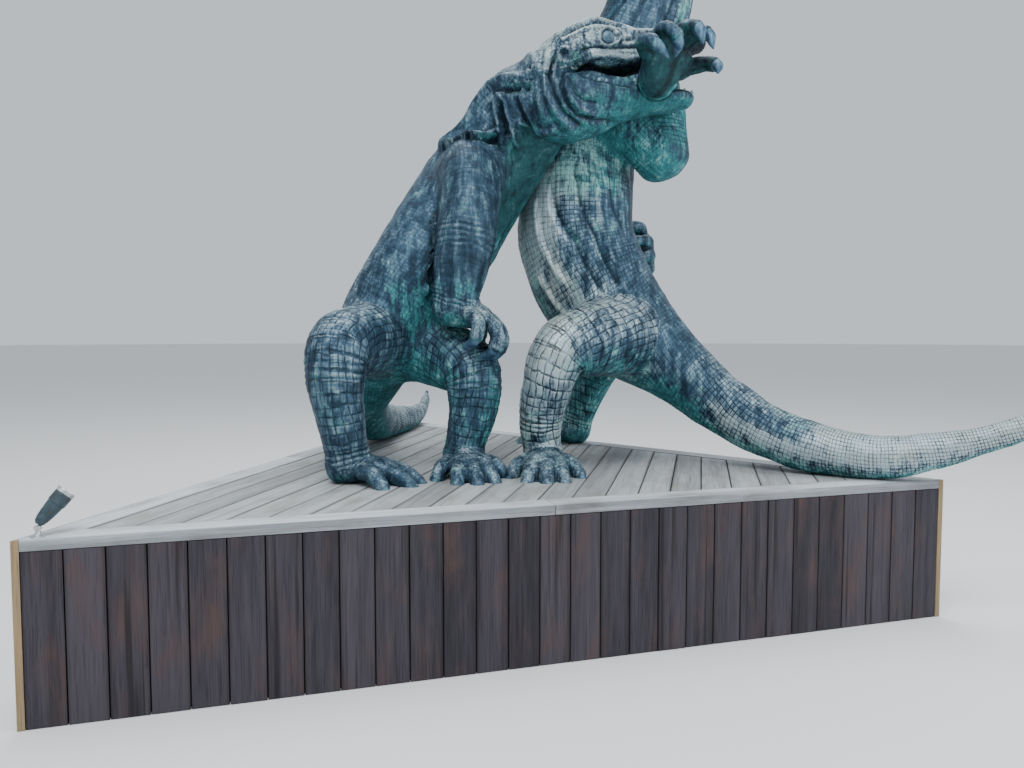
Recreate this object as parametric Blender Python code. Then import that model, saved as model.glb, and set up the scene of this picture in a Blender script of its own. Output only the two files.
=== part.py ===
"""Bronze sculpture of two Komodo dragons wrestling upright on a triangular timber plinth.

Metres, +Z up. The origin is on the ground under the middle of the plinth, X runs along the plinth's
front side and Y points away from it. Every named object is one closed solid.
"""

import math

import bmesh
import bpy
import numpy as np
from mathutils import Matrix, Vector
from mathutils.bvhtree import BVHTree

# Driving dimensions
GAP = 0.0003  # clearance between neighbouring solids
PLINTH_SIDE = 4.39
PLINTH_HEIGHT = 0.74
CLADDING_THICK = 0.030
EDGE_BOARD_WIDTH = 0.14
EDGE_BOARD_THICK = 0.045
DECK_DROP = 0.002  # the deck lies this much lower than its edge boards
BATTEN_WIDTH = 0.028  # along each side, at a corner
HEAD_LENGTH = 0.90
NECK_MEETS_HEAD = 0.06  # in head lengths from the nape
EYE_RADIUS = 0.038
HAND_LENGTH = 0.20  # wrist to knuckles
FOOT_LENGTH = 0.25
DIGIT_RADIUS = 0.042
CLAW_LENGTH = 0.10
LAMP_PLACE = (-2.11, -1.215)
LAMP_RADIUS = 0.038
TRUNK_SIDES = 14  # points round a body section
LIMB_SIDES = 8
HEAD_SIDES = 12
DIGIT_SIDES = 5
DECK_TOP = PLINTH_HEIGHT - DECK_DROP
EYE_PLACE = (0.39 * HEAD_LENGTH, 0.158, 0.088)  # forward, aside and up from the nape
JAW_HINGE = 0.18  # in head lengths from the nape
DOME_REACH = 0.8  # of the smallest radius, at a rounded end
HEAD_KEPT = 0.65  # share of a head's triangles that stays
PAW_KEPT = 0.45
TRIM_GAPS = (GAP * 1.6, GAP * 6)  # a second, wider cut clears what the first one left

# Colours: base colour, metallic, roughness
BRONZE = ((0.055, 0.085, 0.095), 0.6, 0.55)
BRONZE_EYE = ((0.24, 0.32, 0.27), 0.4, 0.45)
DARK_TIMBER = ((0.050, 0.040, 0.042), 0.0, 0.8)
GREY_TIMBER = ((0.26, 0.25, 0.235), 0.0, 0.85)
BATTEN_TIMBER = ((0.30, 0.21, 0.11), 0.0, 0.8)
LAMP_PAINT = ((0.05, 0.06, 0.07), 0.2, 0.45)

# Every place on a dragon is (x, y, height over the plinth's top).
# A body section is (place, direction of the back, half width, height above and below the middle).
LEFT_SPINE = [
    ((0.25, 2.72, 0.23), (0.0, 0.0, 1.0), 0.016, 0.018, 0.016),
    ((0.15, 2.42, 0.12), (0.0, 0.0, 1.0), 0.045, 0.052, 0.042),
    ((-0.03, 2.02, 0.08), (0.0, 0.0, 1.0), 0.078, 0.090, 0.080),
    ((-0.27, 1.56, 0.10), (0.0, 0.1, 1.0), 0.110, 0.125, 0.108),
    ((-0.49, 1.08, 0.17), (0.0, 0.3, 1.0), 0.145, 0.160, 0.140),
    ((-0.63, 0.66, 0.35), (-0.2, 0.7, 0.8), 0.190, 0.200, 0.185),
    ((-0.63, 0.30, 0.58), (-0.45, 0.88, 0.35), 0.250, 0.235, 0.240),
    ((-0.51, 0.10, 0.84), (-0.5, 0.85, 0.1), 0.300, 0.265, 0.280),
    ((-0.34, 0.08, 1.10), (-0.62, 0.75, 0.2), 0.335, 0.295, 0.300),
    ((-0.17, 0.10, 1.36), (-0.72, 0.65, 0.3), 0.345, 0.305, 0.300),
    ((-0.00, 0.09, 1.62), (-0.78, 0.55, 0.4), 0.330, 0.315, 0.290),
    ((0.14, -0.01, 1.86), (-0.75, 0.42, 0.55), 0.275, 0.278, 0.285),
    ((0.23, -0.14, 2.05), (-0.60, 0.30, 0.75), 0.240, 0.257, 0.290),
    ((0.33, -0.27, 2.15), (-0.40, 0.15, 0.9), 0.218, 0.190, 0.340),
    ((0.47, -0.35, 2.18), (-0.20, 0.08, 1.0), 0.205, 0.180, 0.330),
]
LEFT_SPINE_CUTS = {"tail_tip": 2, "tail_middle": 4, "tail_base": 6, "trunk": 10.6, "neck": 14}

RIGHT_SPINE = [
    ((2.75, -1.86, 0.62), (0.0, 0.0, 1.0), 0.012, 0.014, 0.012),
    ((2.55, -1.69, 0.41), (-0.1, 0.1, 1.0), 0.036, 0.040, 0.036),
    ((2.33, -1.50, 0.26), (-0.1, 0.1, 1.0), 0.062, 0.068, 0.064),
    ((2.09, -1.32, 0.16), (0.0, 0.0, 1.0), 0.090, 0.095, 0.088),
    ((1.89, -1.15, 0.11), (0.0, 0.0, 1.0), 0.112, 0.120, 0.107),
    ((1.69, -0.88, 0.13), (0.1, -0.05, 1.0), 0.142, 0.145, 0.128),
    ((1.51, -0.64, 0.23), (0.3, -0.2, 0.9), 0.168, 0.140, 0.160),
    ((1.34, -0.45, 0.39), (0.5, -0.33, 0.8), 0.198, 0.150, 0.195),
    ((1.17, -0.27, 0.58), (0.65, -0.42, 0.6), 0.245, 0.180, 0.235),
    ((0.97, -0.09, 0.80), (0.78, -0.50, 0.35), 0.310, 0.250, 0.340),
    ((0.76, 0.01, 1.06), (0.83, -0.53, 0.2), 0.355, 0.320, 0.385),
    ((0.65, 0.09, 1.33), (0.83, -0.53, 0.1), 0.360, 0.345, 0.365),
    ((0.65, 0.12, 1.59), (0.83, -0.53, 0.0), 0.350, 0.345, 0.350),
    ((0.69, 0.15, 1.85), (0.83, -0.53, 0.0), 0.330, 0.335, 0.325),
    ((0.78, 0.15, 2.10), (0.83, -0.50, -0.2), 0.285, 0.300, 0.290),
    ((0.89, 0.13, 2.35), (0.83, -0.45, -0.3), 0.250, 0.265, 0.290),
    ((1.05, 0.09, 2.59), (0.83, -0.40, -0.3), 0.235, 0.250, 0.288),
    ((1.13, 0.06, 2.83), (0.90, -0.35, -0.1), 0.225, 0.240, 0.285),
    ((1.12, 0.06, 3.07), (0.85, -0.30, 0.4), 0.215, 0.215, 0.300),
    ((1.01, 0.10, 3.27), (0.65, -0.20, 0.8), 0.205, 0.190, 0.320),
    ((0.86, 0.15, 3.35), (0.45, -0.15, 0.9), 0.200, 0.180, 0.340),
]
RIGHT_SPINE_CUTS = {"tail_tip": 3, "tail_middle": 6, "tail_base": 8.4, "trunk": 14.0, "neck": 20}

# A limb station is (place, radius)
LEFT_LIMBS = {
    "arm_right": [
        ((-0.07, 0.03, 1.70), 0.150),
        ((-0.10, -0.16, 1.66), 0.178),
        ((-0.13, -0.26, 1.48), 0.165),
        ((-0.17, -0.32, 1.27), 0.158),
        ((-0.21, -0.33, 1.08), 0.140),
        ((-0.24, -0.32, 0.92), 0.112),
    ],
    "arm_left": [
        ((0.15, 0.18, 1.82), 0.150),
        ((0.30, 0.42, 1.86), 0.165),
        ((0.53, 0.66, 1.80), 0.155),
        ((0.83, 0.74, 1.62), 0.140),
        ((1.07, 0.64, 1.41), 0.115),
        ((1.20, 0.45, 1.30), 0.095),
    ],
    "leg_right": [
        ((-0.55, 0.06, 0.72), 0.200),
        ((-0.71, -0.16, 0.73), 0.200),
        ((-0.86, -0.36, 0.70), 0.170),
        ((-0.89, -0.42, 0.50), 0.142),
        ((-0.86, -0.40, 0.30), 0.120),
        ((-0.82, -0.38, 0.10), 0.105),
    ],
    "leg_left": [
        ((-0.43, 0.12, 0.72), 0.200),
        ((-0.25, -0.05, 0.66), 0.195),
        ((-0.13, -0.25, 0.57), 0.168),
        ((-0.12, -0.29, 0.38), 0.140),
        ((-0.15, -0.27, 0.22), 0.118),
        ((-0.17, -0.24, 0.10), 0.105),
    ],
}
RIGHT_LIMBS = {
    "arm_right": [
        ((0.75, 0.32, 2.04), 0.160),
        ((0.75, 0.55, 2.10), 0.165),
        ((0.69, 0.78, 2.06), 0.150),
        ((0.53, 0.84, 2.04), 0.138),
        ((0.35, 0.74, 2.04), 0.115),
        ((0.23, 0.64, 2.00), 0.100),
    ],
    "leg_left": [
        ((0.88, -0.12, 0.80), 0.215),
        ((0.72, -0.30, 0.76), 0.232),
        ((0.51, -0.42, 0.73), 0.206),
        ((0.33, -0.46, 0.67), 0.168),
        ((0.26, -0.44, 0.50), 0.138),
        ((0.24, -0.38, 0.30), 0.118),
        ((0.27, -0.33, 0.10), 0.105),
    ],
    "leg_right": [
        ((1.03, 0.06, 0.76), 0.230),
        ((1.08, 0.30, 0.75), 0.225),
        ((1.06, 0.52, 0.68), 0.190),
        ((1.00, 0.63, 0.52), 0.150),
        ((0.94, 0.67, 0.32), 0.118),
        ((0.88, 0.71, 0.10), 0.100),
    ],
}
# The raised arm of the right dragon folds back on itself, so its two lengths are separate
RIGHT_RAISED_UPPER_ARM = [
    ((0.73, -0.06, 2.14), 0.150),
    ((0.79, -0.18, 2.02), 0.150),
    ((0.91, -0.25, 1.89), 0.135),
    ((1.02, -0.27, 1.80), 0.138),
]
RIGHT_RAISED_FOREARM = [
    ((1.04, -0.27, 1.81), 0.148),
    ((1.05, -0.25, 1.96), 0.132),
    ((1.06, -0.25, 2.08), 0.116),
    ((1.02, -0.31, 2.17), 0.094),
    ((0.93, -0.46, 2.15), 0.090),
    ((0.82, -0.60, 2.13), 0.094),
]
JOINT_AT = 3  # a limb's elbow or knee is near this station


def unit(vector):
    return np.asarray(vector, float) / np.linalg.norm(vector)


def clear_scene():
    for thing in list(bpy.data.objects):
        bpy.data.objects.remove(thing, do_unlink=True)


def finish_material(name, finish):
    colour, metallic, roughness = finish
    material = bpy.data.materials.new(name)
    material.use_nodes = True
    shader = material.node_tree.nodes["Principled BSDF"]
    shader.inputs["Base Color"].default_value = (*colour, 1.0)
    shader.inputs["Metallic"].default_value = metallic
    shader.inputs["Roughness"].default_value = roughness
    material.diffuse_color = (*colour, 1.0)
    return material


def mesh_object(name, points, faces, finish):
    """A named object from points and faces, with its faces turned outwards."""
    mesh = bpy.data.meshes.new(name)
    mesh.from_pydata([tuple(p) for p in points], [], faces)
    shape = bmesh.new()
    shape.from_mesh(mesh)
    bmesh.ops.recalc_face_normals(shape, faces=shape.faces)
    bmesh.ops.triangulate(shape, faces=shape.faces)
    shape.to_mesh(mesh)
    shape.free()
    mesh.materials.append(finish_material(name, finish))
    thing = bpy.data.objects.new(name, mesh)
    bpy.context.scene.collection.objects.link(thing)
    return thing


def catmull_rom(values, at):
    """The smooth curve through evenly numbered values, read at station number `at`."""
    last = len(values) - 1
    i = min(int(at), last - 1)
    t = at - i
    before, start, end, after = (values[min(max(k, 0), last)] for k in (i - 1, i, i + 1, i + 2))
    if i == 0:
        before = 2 * start - end
    if i + 1 == last:
        after = 2 * end - start
    return start + 0.5 * t * (
        end - before
        + t * (2 * before - 5 * start + 4 * end - after + t * (3 * (start - end) + after - before))
    )


def over_plinth(place):
    return (place[0], place[1], place[2] + PLINTH_HEIGHT)


def body_rows(spine):
    return np.array([[*over_plinth(place), *unit(back), *sizes] for place, back, *sizes in spine])


def limb_rows(limb, back=(0.0, 0.0, 1.0)):
    return np.array([[*over_plinth(place), *back, radius, radius, radius] for place, radius in limb])


def sections(rows, start, end, count):
    """Middle, left, up, forward and sizes of count sections between two station numbers."""
    result = []
    for at in np.linspace(start, end, count):
        row = catmull_rom(rows, at)
        step = 0.02
        ahead = catmull_rom(rows, min(at + step, len(rows) - 1))
        behind = catmull_rom(rows, max(at - step, 0))
        forward = unit(ahead[:3] - behind[:3])
        across = np.cross(row[3:6], forward)
        if np.linalg.norm(across) < 0.05:
            across = np.cross((0.31, 0.95, 0.05), forward)
        left = unit(across)
        up = np.cross(forward, left)
        result.append((row[:3], left, up, forward, row[6:9]))
    return result


def ring(section, sides, scale=1.0, shift=0.0):
    """Points round one section; its upper and lower halves have heights of their own."""
    middle, left, up, forward, (wide, high, low) = section
    points = []
    for k in range(sides):
        turn = 2 * math.pi * (k + 0.5) / sides
        rise = high if math.sin(turn) > 0 else low
        reach = left * (wide * math.cos(turn)) + up * (rise * math.sin(turn))
        points.append(middle + forward * shift + reach * scale)
    return points


def tube(name, cuts, sides, finish, round_start=False, round_end=False):
    """A closed solid through its sections, each end flat or domed."""
    rings = [ring(section, sides) for section in cuts]
    dome = ((0.86, 0.5), (0.5, 0.82))  # scale of a ring and its distance out, in radii
    if round_end:
        reach = DOME_REACH * min(cuts[-1][4])
        rings += [ring(cuts[-1], sides, scale, out * reach) for scale, out in dome]
    if round_start:
        reach = DOME_REACH * min(cuts[0][4])
        rings = [ring(cuts[0], sides, scale, -out * reach) for scale, out in reversed(dome)] + rings
    points = [p for one in rings for p in one]
    faces = []
    for i in range(len(rings) - 1):
        for k in range(sides):
            near, far = i * sides, (i + 1) * sides
            n = (k + 1) % sides
            faces.append((near + k, near + n, far + n, far + k))
    ends = ((round_start, 0, cuts[0], -1), (round_end, len(rings) - 1, cuts[-1], 1))
    for domed, at, section, way in ends:
        loop = [at * sides + k for k in range(sides)]
        if domed:
            points.append(section[0] + section[3] * (way * DOME_REACH * min(section[4])))
        else:
            points.append(np.mean([points[k] for k in loop], axis=0))
        faces += [(loop[k], loop[(k + 1) % sides], len(points) - 1) for k in range(sides)]
    return mesh_object(name, points, faces, finish)


def lengths(prefix, rows, cuts, sides, per_station, finish):
    """A body parted across into named lengths, each ending GAP short of the next."""
    made, start = {}, 0
    for name, end in cuts.items():
        count = max(3, round((end - start) * per_station) + 1)
        run = sections(rows, start, end, count)
        if start > 0:
            middle, left, up, forward, sizes = run[0]
            run[0] = (middle + forward * GAP, left, up, forward, sizes)
        made[name] = tube(f"{prefix}_{name}", run, sides, finish, start == 0, end == len(rows) - 1)
        start = end
    return made


def grown(thing, by):
    """A copy of a solid with every face moved outwards, for cutting its neighbour."""
    copy = bpy.data.objects.new("cutter", thing.data.copy())
    bpy.context.scene.collection.objects.link(copy)
    shape = bmesh.new()
    shape.from_mesh(copy.data)
    shape.normal_update()
    normals = [v.normal.copy() for v in shape.verts]
    for vertex, normal in zip(shape.verts, normals):
        vertex.co += normal * by
    shape.to_mesh(copy.data)
    shape.free()
    copy.hide_render = True
    copy.display_type = "WIRE"
    return copy


def settle(thing):
    """Replaces a mesh by what its modifier makes of it."""
    settled = thing.evaluated_get(bpy.context.evaluated_depsgraph_get())
    mesh = bpy.data.meshes.new_from_object(settled)
    thing.modifiers.clear()
    old, thing.data = thing.data, mesh
    name = old.name
    bpy.data.meshes.remove(old)
    mesh.name = name


def combine(thing, other, operation):
    """Joins or cuts with another solid, exactly."""
    step = thing.modifiers.new("step", "BOOLEAN")
    step.operation = operation
    step.object = other
    step.solver = "EXACT"
    settle(thing)
    tidy(thing)


def tidy(thing):
    """Merges points that nearly coincide, as far as the solid stays closed, and keeps its largest piece."""
    for merge in (0.0001, 0.00002, 0.0):
        shape = bmesh.new()
        shape.from_mesh(thing.data)
        bmesh.ops.triangulate(shape, faces=shape.faces)
        if merge > 0:
            bmesh.ops.remove_doubles(shape, verts=shape.verts, dist=merge)
            bmesh.ops.dissolve_degenerate(shape, edges=shape.edges, dist=merge)
            bmesh.ops.triangulate(shape, faces=shape.faces)
        if all(len(edge.link_faces) == 2 for edge in shape.edges):
            break
        if merge > 0:
            shape.free()
    keep_largest(shape)
    shape.to_mesh(thing.data)
    shape.free()


def keep_largest(shape):
    """Drops every separate piece but the one with the most surface."""
    groups, seen = [], set()
    for face in shape.faces:
        if face in seen:
            continue
        group, queue = [], [face]
        seen.add(face)
        while queue:
            current = queue.pop()
            group.append(current)
            for edge in current.edges:
                for linked in edge.link_faces:
                    if linked not in seen:
                        seen.add(linked)
                        queue.append(linked)
        groups.append(group)
    groups.sort(key=lambda group: -sum(f.calc_area() for f in group))
    spare = [f for group in groups[1:] for f in group]
    bmesh.ops.delete(shape, geom=spare, context="FACES")
    loose = [v for v in shape.verts if not v.link_faces]
    bmesh.ops.delete(shape, geom=loose, context="VERTS")


def trim(thing, neighbour, by=TRIM_GAPS[0]):
    """Cuts a solid back so that it clears its neighbour."""
    cutter = grown(neighbour, by)
    combine(thing, cutter, "DIFFERENCE")
    bpy.data.objects.remove(cutter, do_unlink=True)


def cut_flat(thing, point, outward):
    """Cuts a solid off square along a plane; what lies outward of it goes."""
    outward = Vector(outward).normalized()
    if max((v.co - Vector(point)).dot(outward) for v in thing.data.vertices) > 0:
        mesh = bpy.data.meshes.new("cutter")
        shape = bmesh.new()
        turn = outward.to_track_quat("Z", "Y").to_matrix().to_4x4()
        place = Matrix.Translation(Vector(point) + outward) @ turn
        bmesh.ops.create_cube(shape, size=2.0, matrix=place)
        shape.to_mesh(mesh)
        shape.free()
        cutter = bpy.data.objects.new("cutter", mesh)
        bpy.context.scene.collection.objects.link(cutter)
        cutter.hide_render = True
        cutter.display_type = "WIRE"
        combine(thing, cutter, "DIFFERENCE")
        bpy.data.objects.remove(cutter, do_unlink=True)


def simplify(thing, share):
    """Keeps about this share of a solid's triangles."""
    step = thing.modifiers.new("fewer", "DECIMATE")
    step.ratio = share
    settle(thing)


def faces_tree(thing):
    return BVHTree.FromPolygons([v.co for v in thing.data.vertices],
                                [p.vertices[:] for p in thing.data.polygons])


def clear_each_other(things):
    """Cuts each solid back from every solid before it in the list that it runs into."""
    for by in TRIM_GAPS:
        for at, thing in enumerate(things):
            for earlier in things[:at]:
                if faces_tree(thing).overlap(faces_tree(earlier)):
                    trim(thing, earlier, by)


def frame_at(origin, forward, up):
    """A matrix whose X is forward and whose Z is near up, at a place over the plinth."""
    x = Vector(forward).normalized()
    y = Vector(up).cross(x).normalized()
    z = x.cross(y)
    turn = Matrix((x, y, z)).transposed().to_4x4()
    return Matrix.Translation(Vector(over_plinth(origin))) @ turn


def local_rows(frame, stations):
    """Rows in the world from stations along a frame's X: (x, y, z, half width, above, below)."""
    up = np.array(frame.to_3x3() @ Vector((0, 0, 1)))
    return np.array([[*(frame @ Vector((x, y, z))), *up, wide, high, low]
                     for x, y, z, wide, high, low in stations])


def head(prefix, frame, gape, neck):
    """Skull with the upper jaw, lower jaw with the throat, and the two eyes."""
    size = HEAD_LENGTH
    skull = local_rows(frame, [
        (-0.03 * size, 0, 0.030, 0.165, 0.095, 0.120),
        (0.09 * size, 0, 0.055, 0.198, 0.130, 0.100),
        (0.22 * size, 0, 0.060, 0.205, 0.178, 0.070),
        (0.34 * size, 0, 0.050, 0.190, 0.192, 0.074),
        (0.47 * size, 0, 0.045, 0.165, 0.135, 0.084),
        (0.66 * size, 0, 0.038, 0.142, 0.082, 0.070),
        (0.84 * size, 0, 0.030, 0.122, 0.062, 0.060),
        (0.96 * size, 0, 0.022, 0.088, 0.048, 0.045),
    ])
    upper = tube(f"{prefix}_head", sections(skull, 0, 7, 10), HEAD_SIDES, BRONZE, False, True)
    hinge = Vector((JAW_HINGE * size, 0, 0))
    drop = Matrix.Translation(hinge) @ Matrix.Rotation(gape, 4, "Y") @ Matrix.Translation(-hinge)
    jaw = local_rows(frame @ drop, [
        (0.00 * size, 0, -0.150, 0.170, 0.110, 0.190),
        (0.14 * size, 0, -0.165, 0.200, 0.135, 0.230),
        (0.30 * size, 0, -0.145, 0.195, 0.130, 0.215),
        (0.45 * size, 0, -0.115, 0.172, 0.092, 0.155),
        (0.60 * size, 0, -0.085, 0.148, 0.062, 0.110),
        (0.76 * size, 0, -0.062, 0.122, 0.038, 0.083),
        (0.89 * size, 0, -0.045, 0.085, 0.032, 0.055),
    ])
    lower = tube(f"{prefix}_jaw", sections(jaw, 0, 6, 8), HEAD_SIDES, BRONZE, False, True)
    back = frame @ Vector((NECK_MEETS_HEAD * size, 0, 0))
    ahead = frame.to_3x3() @ Vector((1, 0, 0))
    cut_flat(neck, back, ahead)
    cut_flat(upper, back + ahead * GAP, -ahead)
    cut_flat(lower, back + ahead * GAP, -ahead)
    simplify(upper, HEAD_KEPT)
    simplify(lower, HEAD_KEPT)
    trim(lower, upper)
    for side, way in (("left", 1), ("right", -1)):
        eye_ball(f"{prefix}_eye_{side}", frame, way, upper)
    return upper, lower


def eye_ball(name, frame, way, skull):
    """A domed eye set in its socket."""
    ahead, aside, above = EYE_PLACE
    centre = frame @ Vector((ahead, way * aside, above))
    mesh = bpy.data.meshes.new(name)
    shape = bmesh.new()
    bmesh.ops.create_icosphere(shape, subdivisions=2, radius=EYE_RADIUS)
    bmesh.ops.translate(shape, verts=shape.verts, vec=centre)
    shape.to_mesh(mesh)
    shape.free()
    mesh.materials.append(finish_material(name, BRONZE_EYE))
    ball = bpy.data.objects.new(name, mesh)
    bpy.context.scene.collection.objects.link(ball)
    trim(skull, ball)
    return ball


def digit_rows(frame, base, yaw, length, curl, radius, claw):
    """A finger and its hooked claw as one tapering line, bending down as it goes."""
    place, pitch = Vector(base), 0.0
    sizes = (1.05, 1.0, 1.06, 0.92, 0.92, 0.76, 0.52, 0.14)
    steps = [length * 0.27] * 4 + [claw / 3] * 3
    bends = (0.10, 0.28, 0.28, 0.34, 0.35, 0.35, 0.0)
    rows = []
    for k, size in enumerate(sizes):
        up = frame.to_3x3() @ Vector((math.cos(yaw) * math.sin(pitch), math.sin(yaw) * math.sin(pitch),
                                      math.cos(pitch)))
        rows.append([*(frame @ place), *up, radius * size, radius * size, radius * size])
        if k < len(steps):
            pitch += curl * bends[k]
            way = Vector((math.cos(yaw) * math.cos(pitch), math.sin(yaw) * math.cos(pitch),
                          -math.sin(pitch)))
            place = place + way * steps[k]
    return np.array(rows)


def paw(name, frame, length, width, thick, digits, curl, limb_end):
    """Palm or sole with five clawed digits, joined as one casting."""
    body = local_rows(frame, [
        (-0.12 * length, 0, 0, limb_end * 0.96, limb_end * 0.9, limb_end * 0.85),
        (0.40 * length, 0, 0, 0.80 * width / 2, thick * 0.60, thick * 0.55),
        (0.85 * length, 0, 0, width / 2, thick * 0.50, thick * 0.50),
        (1.00 * length, 0, 0, 0.86 * width / 2, thick * 0.34, thick * 0.36),
    ])
    palm = tube(name, sections(body, 0, 3, 4), LIMB_SIDES, BRONZE, False, True)
    for k, (out, yaw, long, bend) in enumerate(digits):
        base = (length * (0.80 - 0.35 * abs(out) ** 3), out * width * 0.42, 0)
        rows = digit_rows(frame, base, yaw, long, curl * bend, DIGIT_RADIUS, CLAW_LENGTH)
        digit = tube(f"{name}_digit_{k}", sections(rows, 0, 7, 6), DIGIT_SIDES, BRONZE)
        combine(palm, digit, "UNION")
        bpy.data.objects.remove(digit, do_unlink=True)
    simplify(palm, PAW_KEPT)
    return palm


# Where a digit leaves the palm (-1 to 1), its turn outwards, its length and its share of the curl
HAND_DIGITS = [(-1.0, -0.75, 0.15, 1.0), (-0.52, -0.28, 0.19, 1.0), (0.0, 0.0, 0.20, 1.0),
               (0.52, 0.28, 0.19, 1.0), (1.0, 0.85, 0.15, 0.9)]
RAISED_DIGITS = [(-1.0, -1.25, 0.17, 0.85), (-0.52, -0.75, 0.19, 1.05), (0.0, 0.0, 0.19, 0.70),
                 (0.52, 0.0, 0.20, 0.68), (1.0, 0.70, 0.19, 0.68)]
FOOT_DIGITS = [(-1.0, -0.60, 0.15, 1.0), (-0.52, -0.26, 0.20, 1.0), (0.0, 0.0, 0.22, 1.0),
               (0.52, 0.24, 0.20, 1.0), (1.0, 0.62, 0.14, 1.0)]


def limb(prefix, name, stations, upper_name, lower_name):
    """A limb parted at its elbow or knee."""
    rows = limb_rows(stations, back=(0.25, 0.10, 1.0) if "arm" in name else (0.3, 0.9, 0.2))
    end = len(rows) - 1
    parts = lengths(prefix, rows, {upper_name: JOINT_AT - 0.4, lower_name: end - 0.001},
                    LIMB_SIDES, 2, BRONZE)
    return parts[upper_name], parts[lower_name]


def plinth_corner(k):
    """Corner k of the plinth's outline: front left, front right, back."""
    turn = math.radians((210, 330, 90)[k])
    reach = PLINTH_SIDE / math.sqrt(3)
    return np.array([reach * math.cos(turn), reach * math.sin(turn)])


def prism(name, outline, low, high, finish):
    """An upright prism over an outline given in plan."""
    count = len(outline)
    points = [(*p, low) for p in outline] + [(*p, high) for p in outline]
    faces = [tuple(range(count)), tuple(range(count, 2 * count))]
    faces += [(k, (k + 1) % count, count + (k + 1) % count, count + k) for k in range(count)]
    return mesh_object(name, points, faces, finish)


def side_plan(k, points):
    """Plan points from (distance along side k, distance inwards)."""
    start, end = plinth_corner(k), plinth_corner((k + 1) % 3)
    along = (end - start) / PLINTH_SIDE
    inward = np.array([-along[1], along[0]])
    return [start + along * s + inward * d for s, d in points]


def mitred(width, slope):
    """A side's board in plan, mitred at both ends behind the corner battens."""
    start = BATTEN_WIDTH + GAP
    mitre = start * slope - GAP
    point = width / slope + 2 * GAP
    half = [(start, 0), (start, mitre), (point, width)]
    return half + [(PLINTH_SIDE - s, d) for s, d in reversed(half)]


def plinth():
    """Timber plinth: framing, cladding, deck, edge boards and corner battens."""
    slope = math.tan(math.radians(30))
    far = PLINTH_SIDE
    inner = CLADDING_THICK + 0.004
    reach = inner / slope
    prism("plinth_frame", [side_plan(k, [(reach, inner)])[0] for k in range(3)], 0.0,
          PLINTH_HEIGHT - EDGE_BOARD_THICK - GAP, DARK_TIMBER)
    edge = EDGE_BOARD_WIDTH + GAP
    prism("plinth_deck", [side_plan(k, [(edge / slope, edge)])[0] for k in range(3)],
          PLINTH_HEIGHT - EDGE_BOARD_THICK, DECK_TOP, GREY_TIMBER)
    for k, place in enumerate(("front", "right", "left")):
        prism(f"plinth_cladding_{place}", side_plan(k, mitred(CLADDING_THICK, slope)), 0.0,
              PLINTH_HEIGHT - EDGE_BOARD_THICK - GAP, DARK_TIMBER)
        prism(f"plinth_edge_{place}", side_plan(k, mitred(EDGE_BOARD_WIDTH, slope)),
              PLINTH_HEIGHT - EDGE_BOARD_THICK, PLINTH_HEIGHT, GREY_TIMBER)
    for k, place in enumerate(("front_left", "front_right", "back")):
        kite = side_plan(k, [(0, 0), (BATTEN_WIDTH, 0), (BATTEN_WIDTH, BATTEN_WIDTH * slope)])
        before = side_plan((k + 2) % 3, [(far - BATTEN_WIDTH, 0)])
        prism(f"plinth_batten_{place}", kite + before, 0.0, PLINTH_HEIGHT, BATTEN_TIMBER)


def turned(name, start, end, profile, sides, finish):
    """A turned solid along a line, from (share of the length, radius) steps."""
    axis = unit(np.subtract(end, start))
    length = np.linalg.norm(np.subtract(end, start))
    left = unit(np.cross(axis, (0.0, 1.0, 0.01)))
    up = np.cross(axis, left)
    cuts = [(np.array(start) + axis * (t * length), left, up, axis, (r, r, r)) for t, r in profile]
    return tube(name, cuts, sides, finish)


def spot_lamp():
    """The small flood lamp on the plinth's front left corner."""
    base = (LAMP_PLACE[0], LAMP_PLACE[1], PLINTH_HEIGHT + GAP)
    knee = (LAMP_PLACE[0], LAMP_PLACE[1], PLINTH_HEIGHT + 0.042)
    foot = LAMP_RADIUS * 0.8
    turned("lamp_bracket", base, knee, [(0, foot), (0.16, foot), (0.18, 0.009), (1, 0.009)], 10,
           LAMP_PAINT)
    tip = np.add(knee, (0.100, 0.035, 0.125))
    shape = [(0, 0.35), (0.12, 0.62), (0.3, 0.78), (0.62, 0.86), (0.64, 0.98), (1, 1.0)]
    turned("lamp_body", np.add(knee, (0, 0, 0.009)), tip,
           [(t, r * LAMP_RADIUS) for t, r in shape], 12, LAMP_PAINT)


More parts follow.
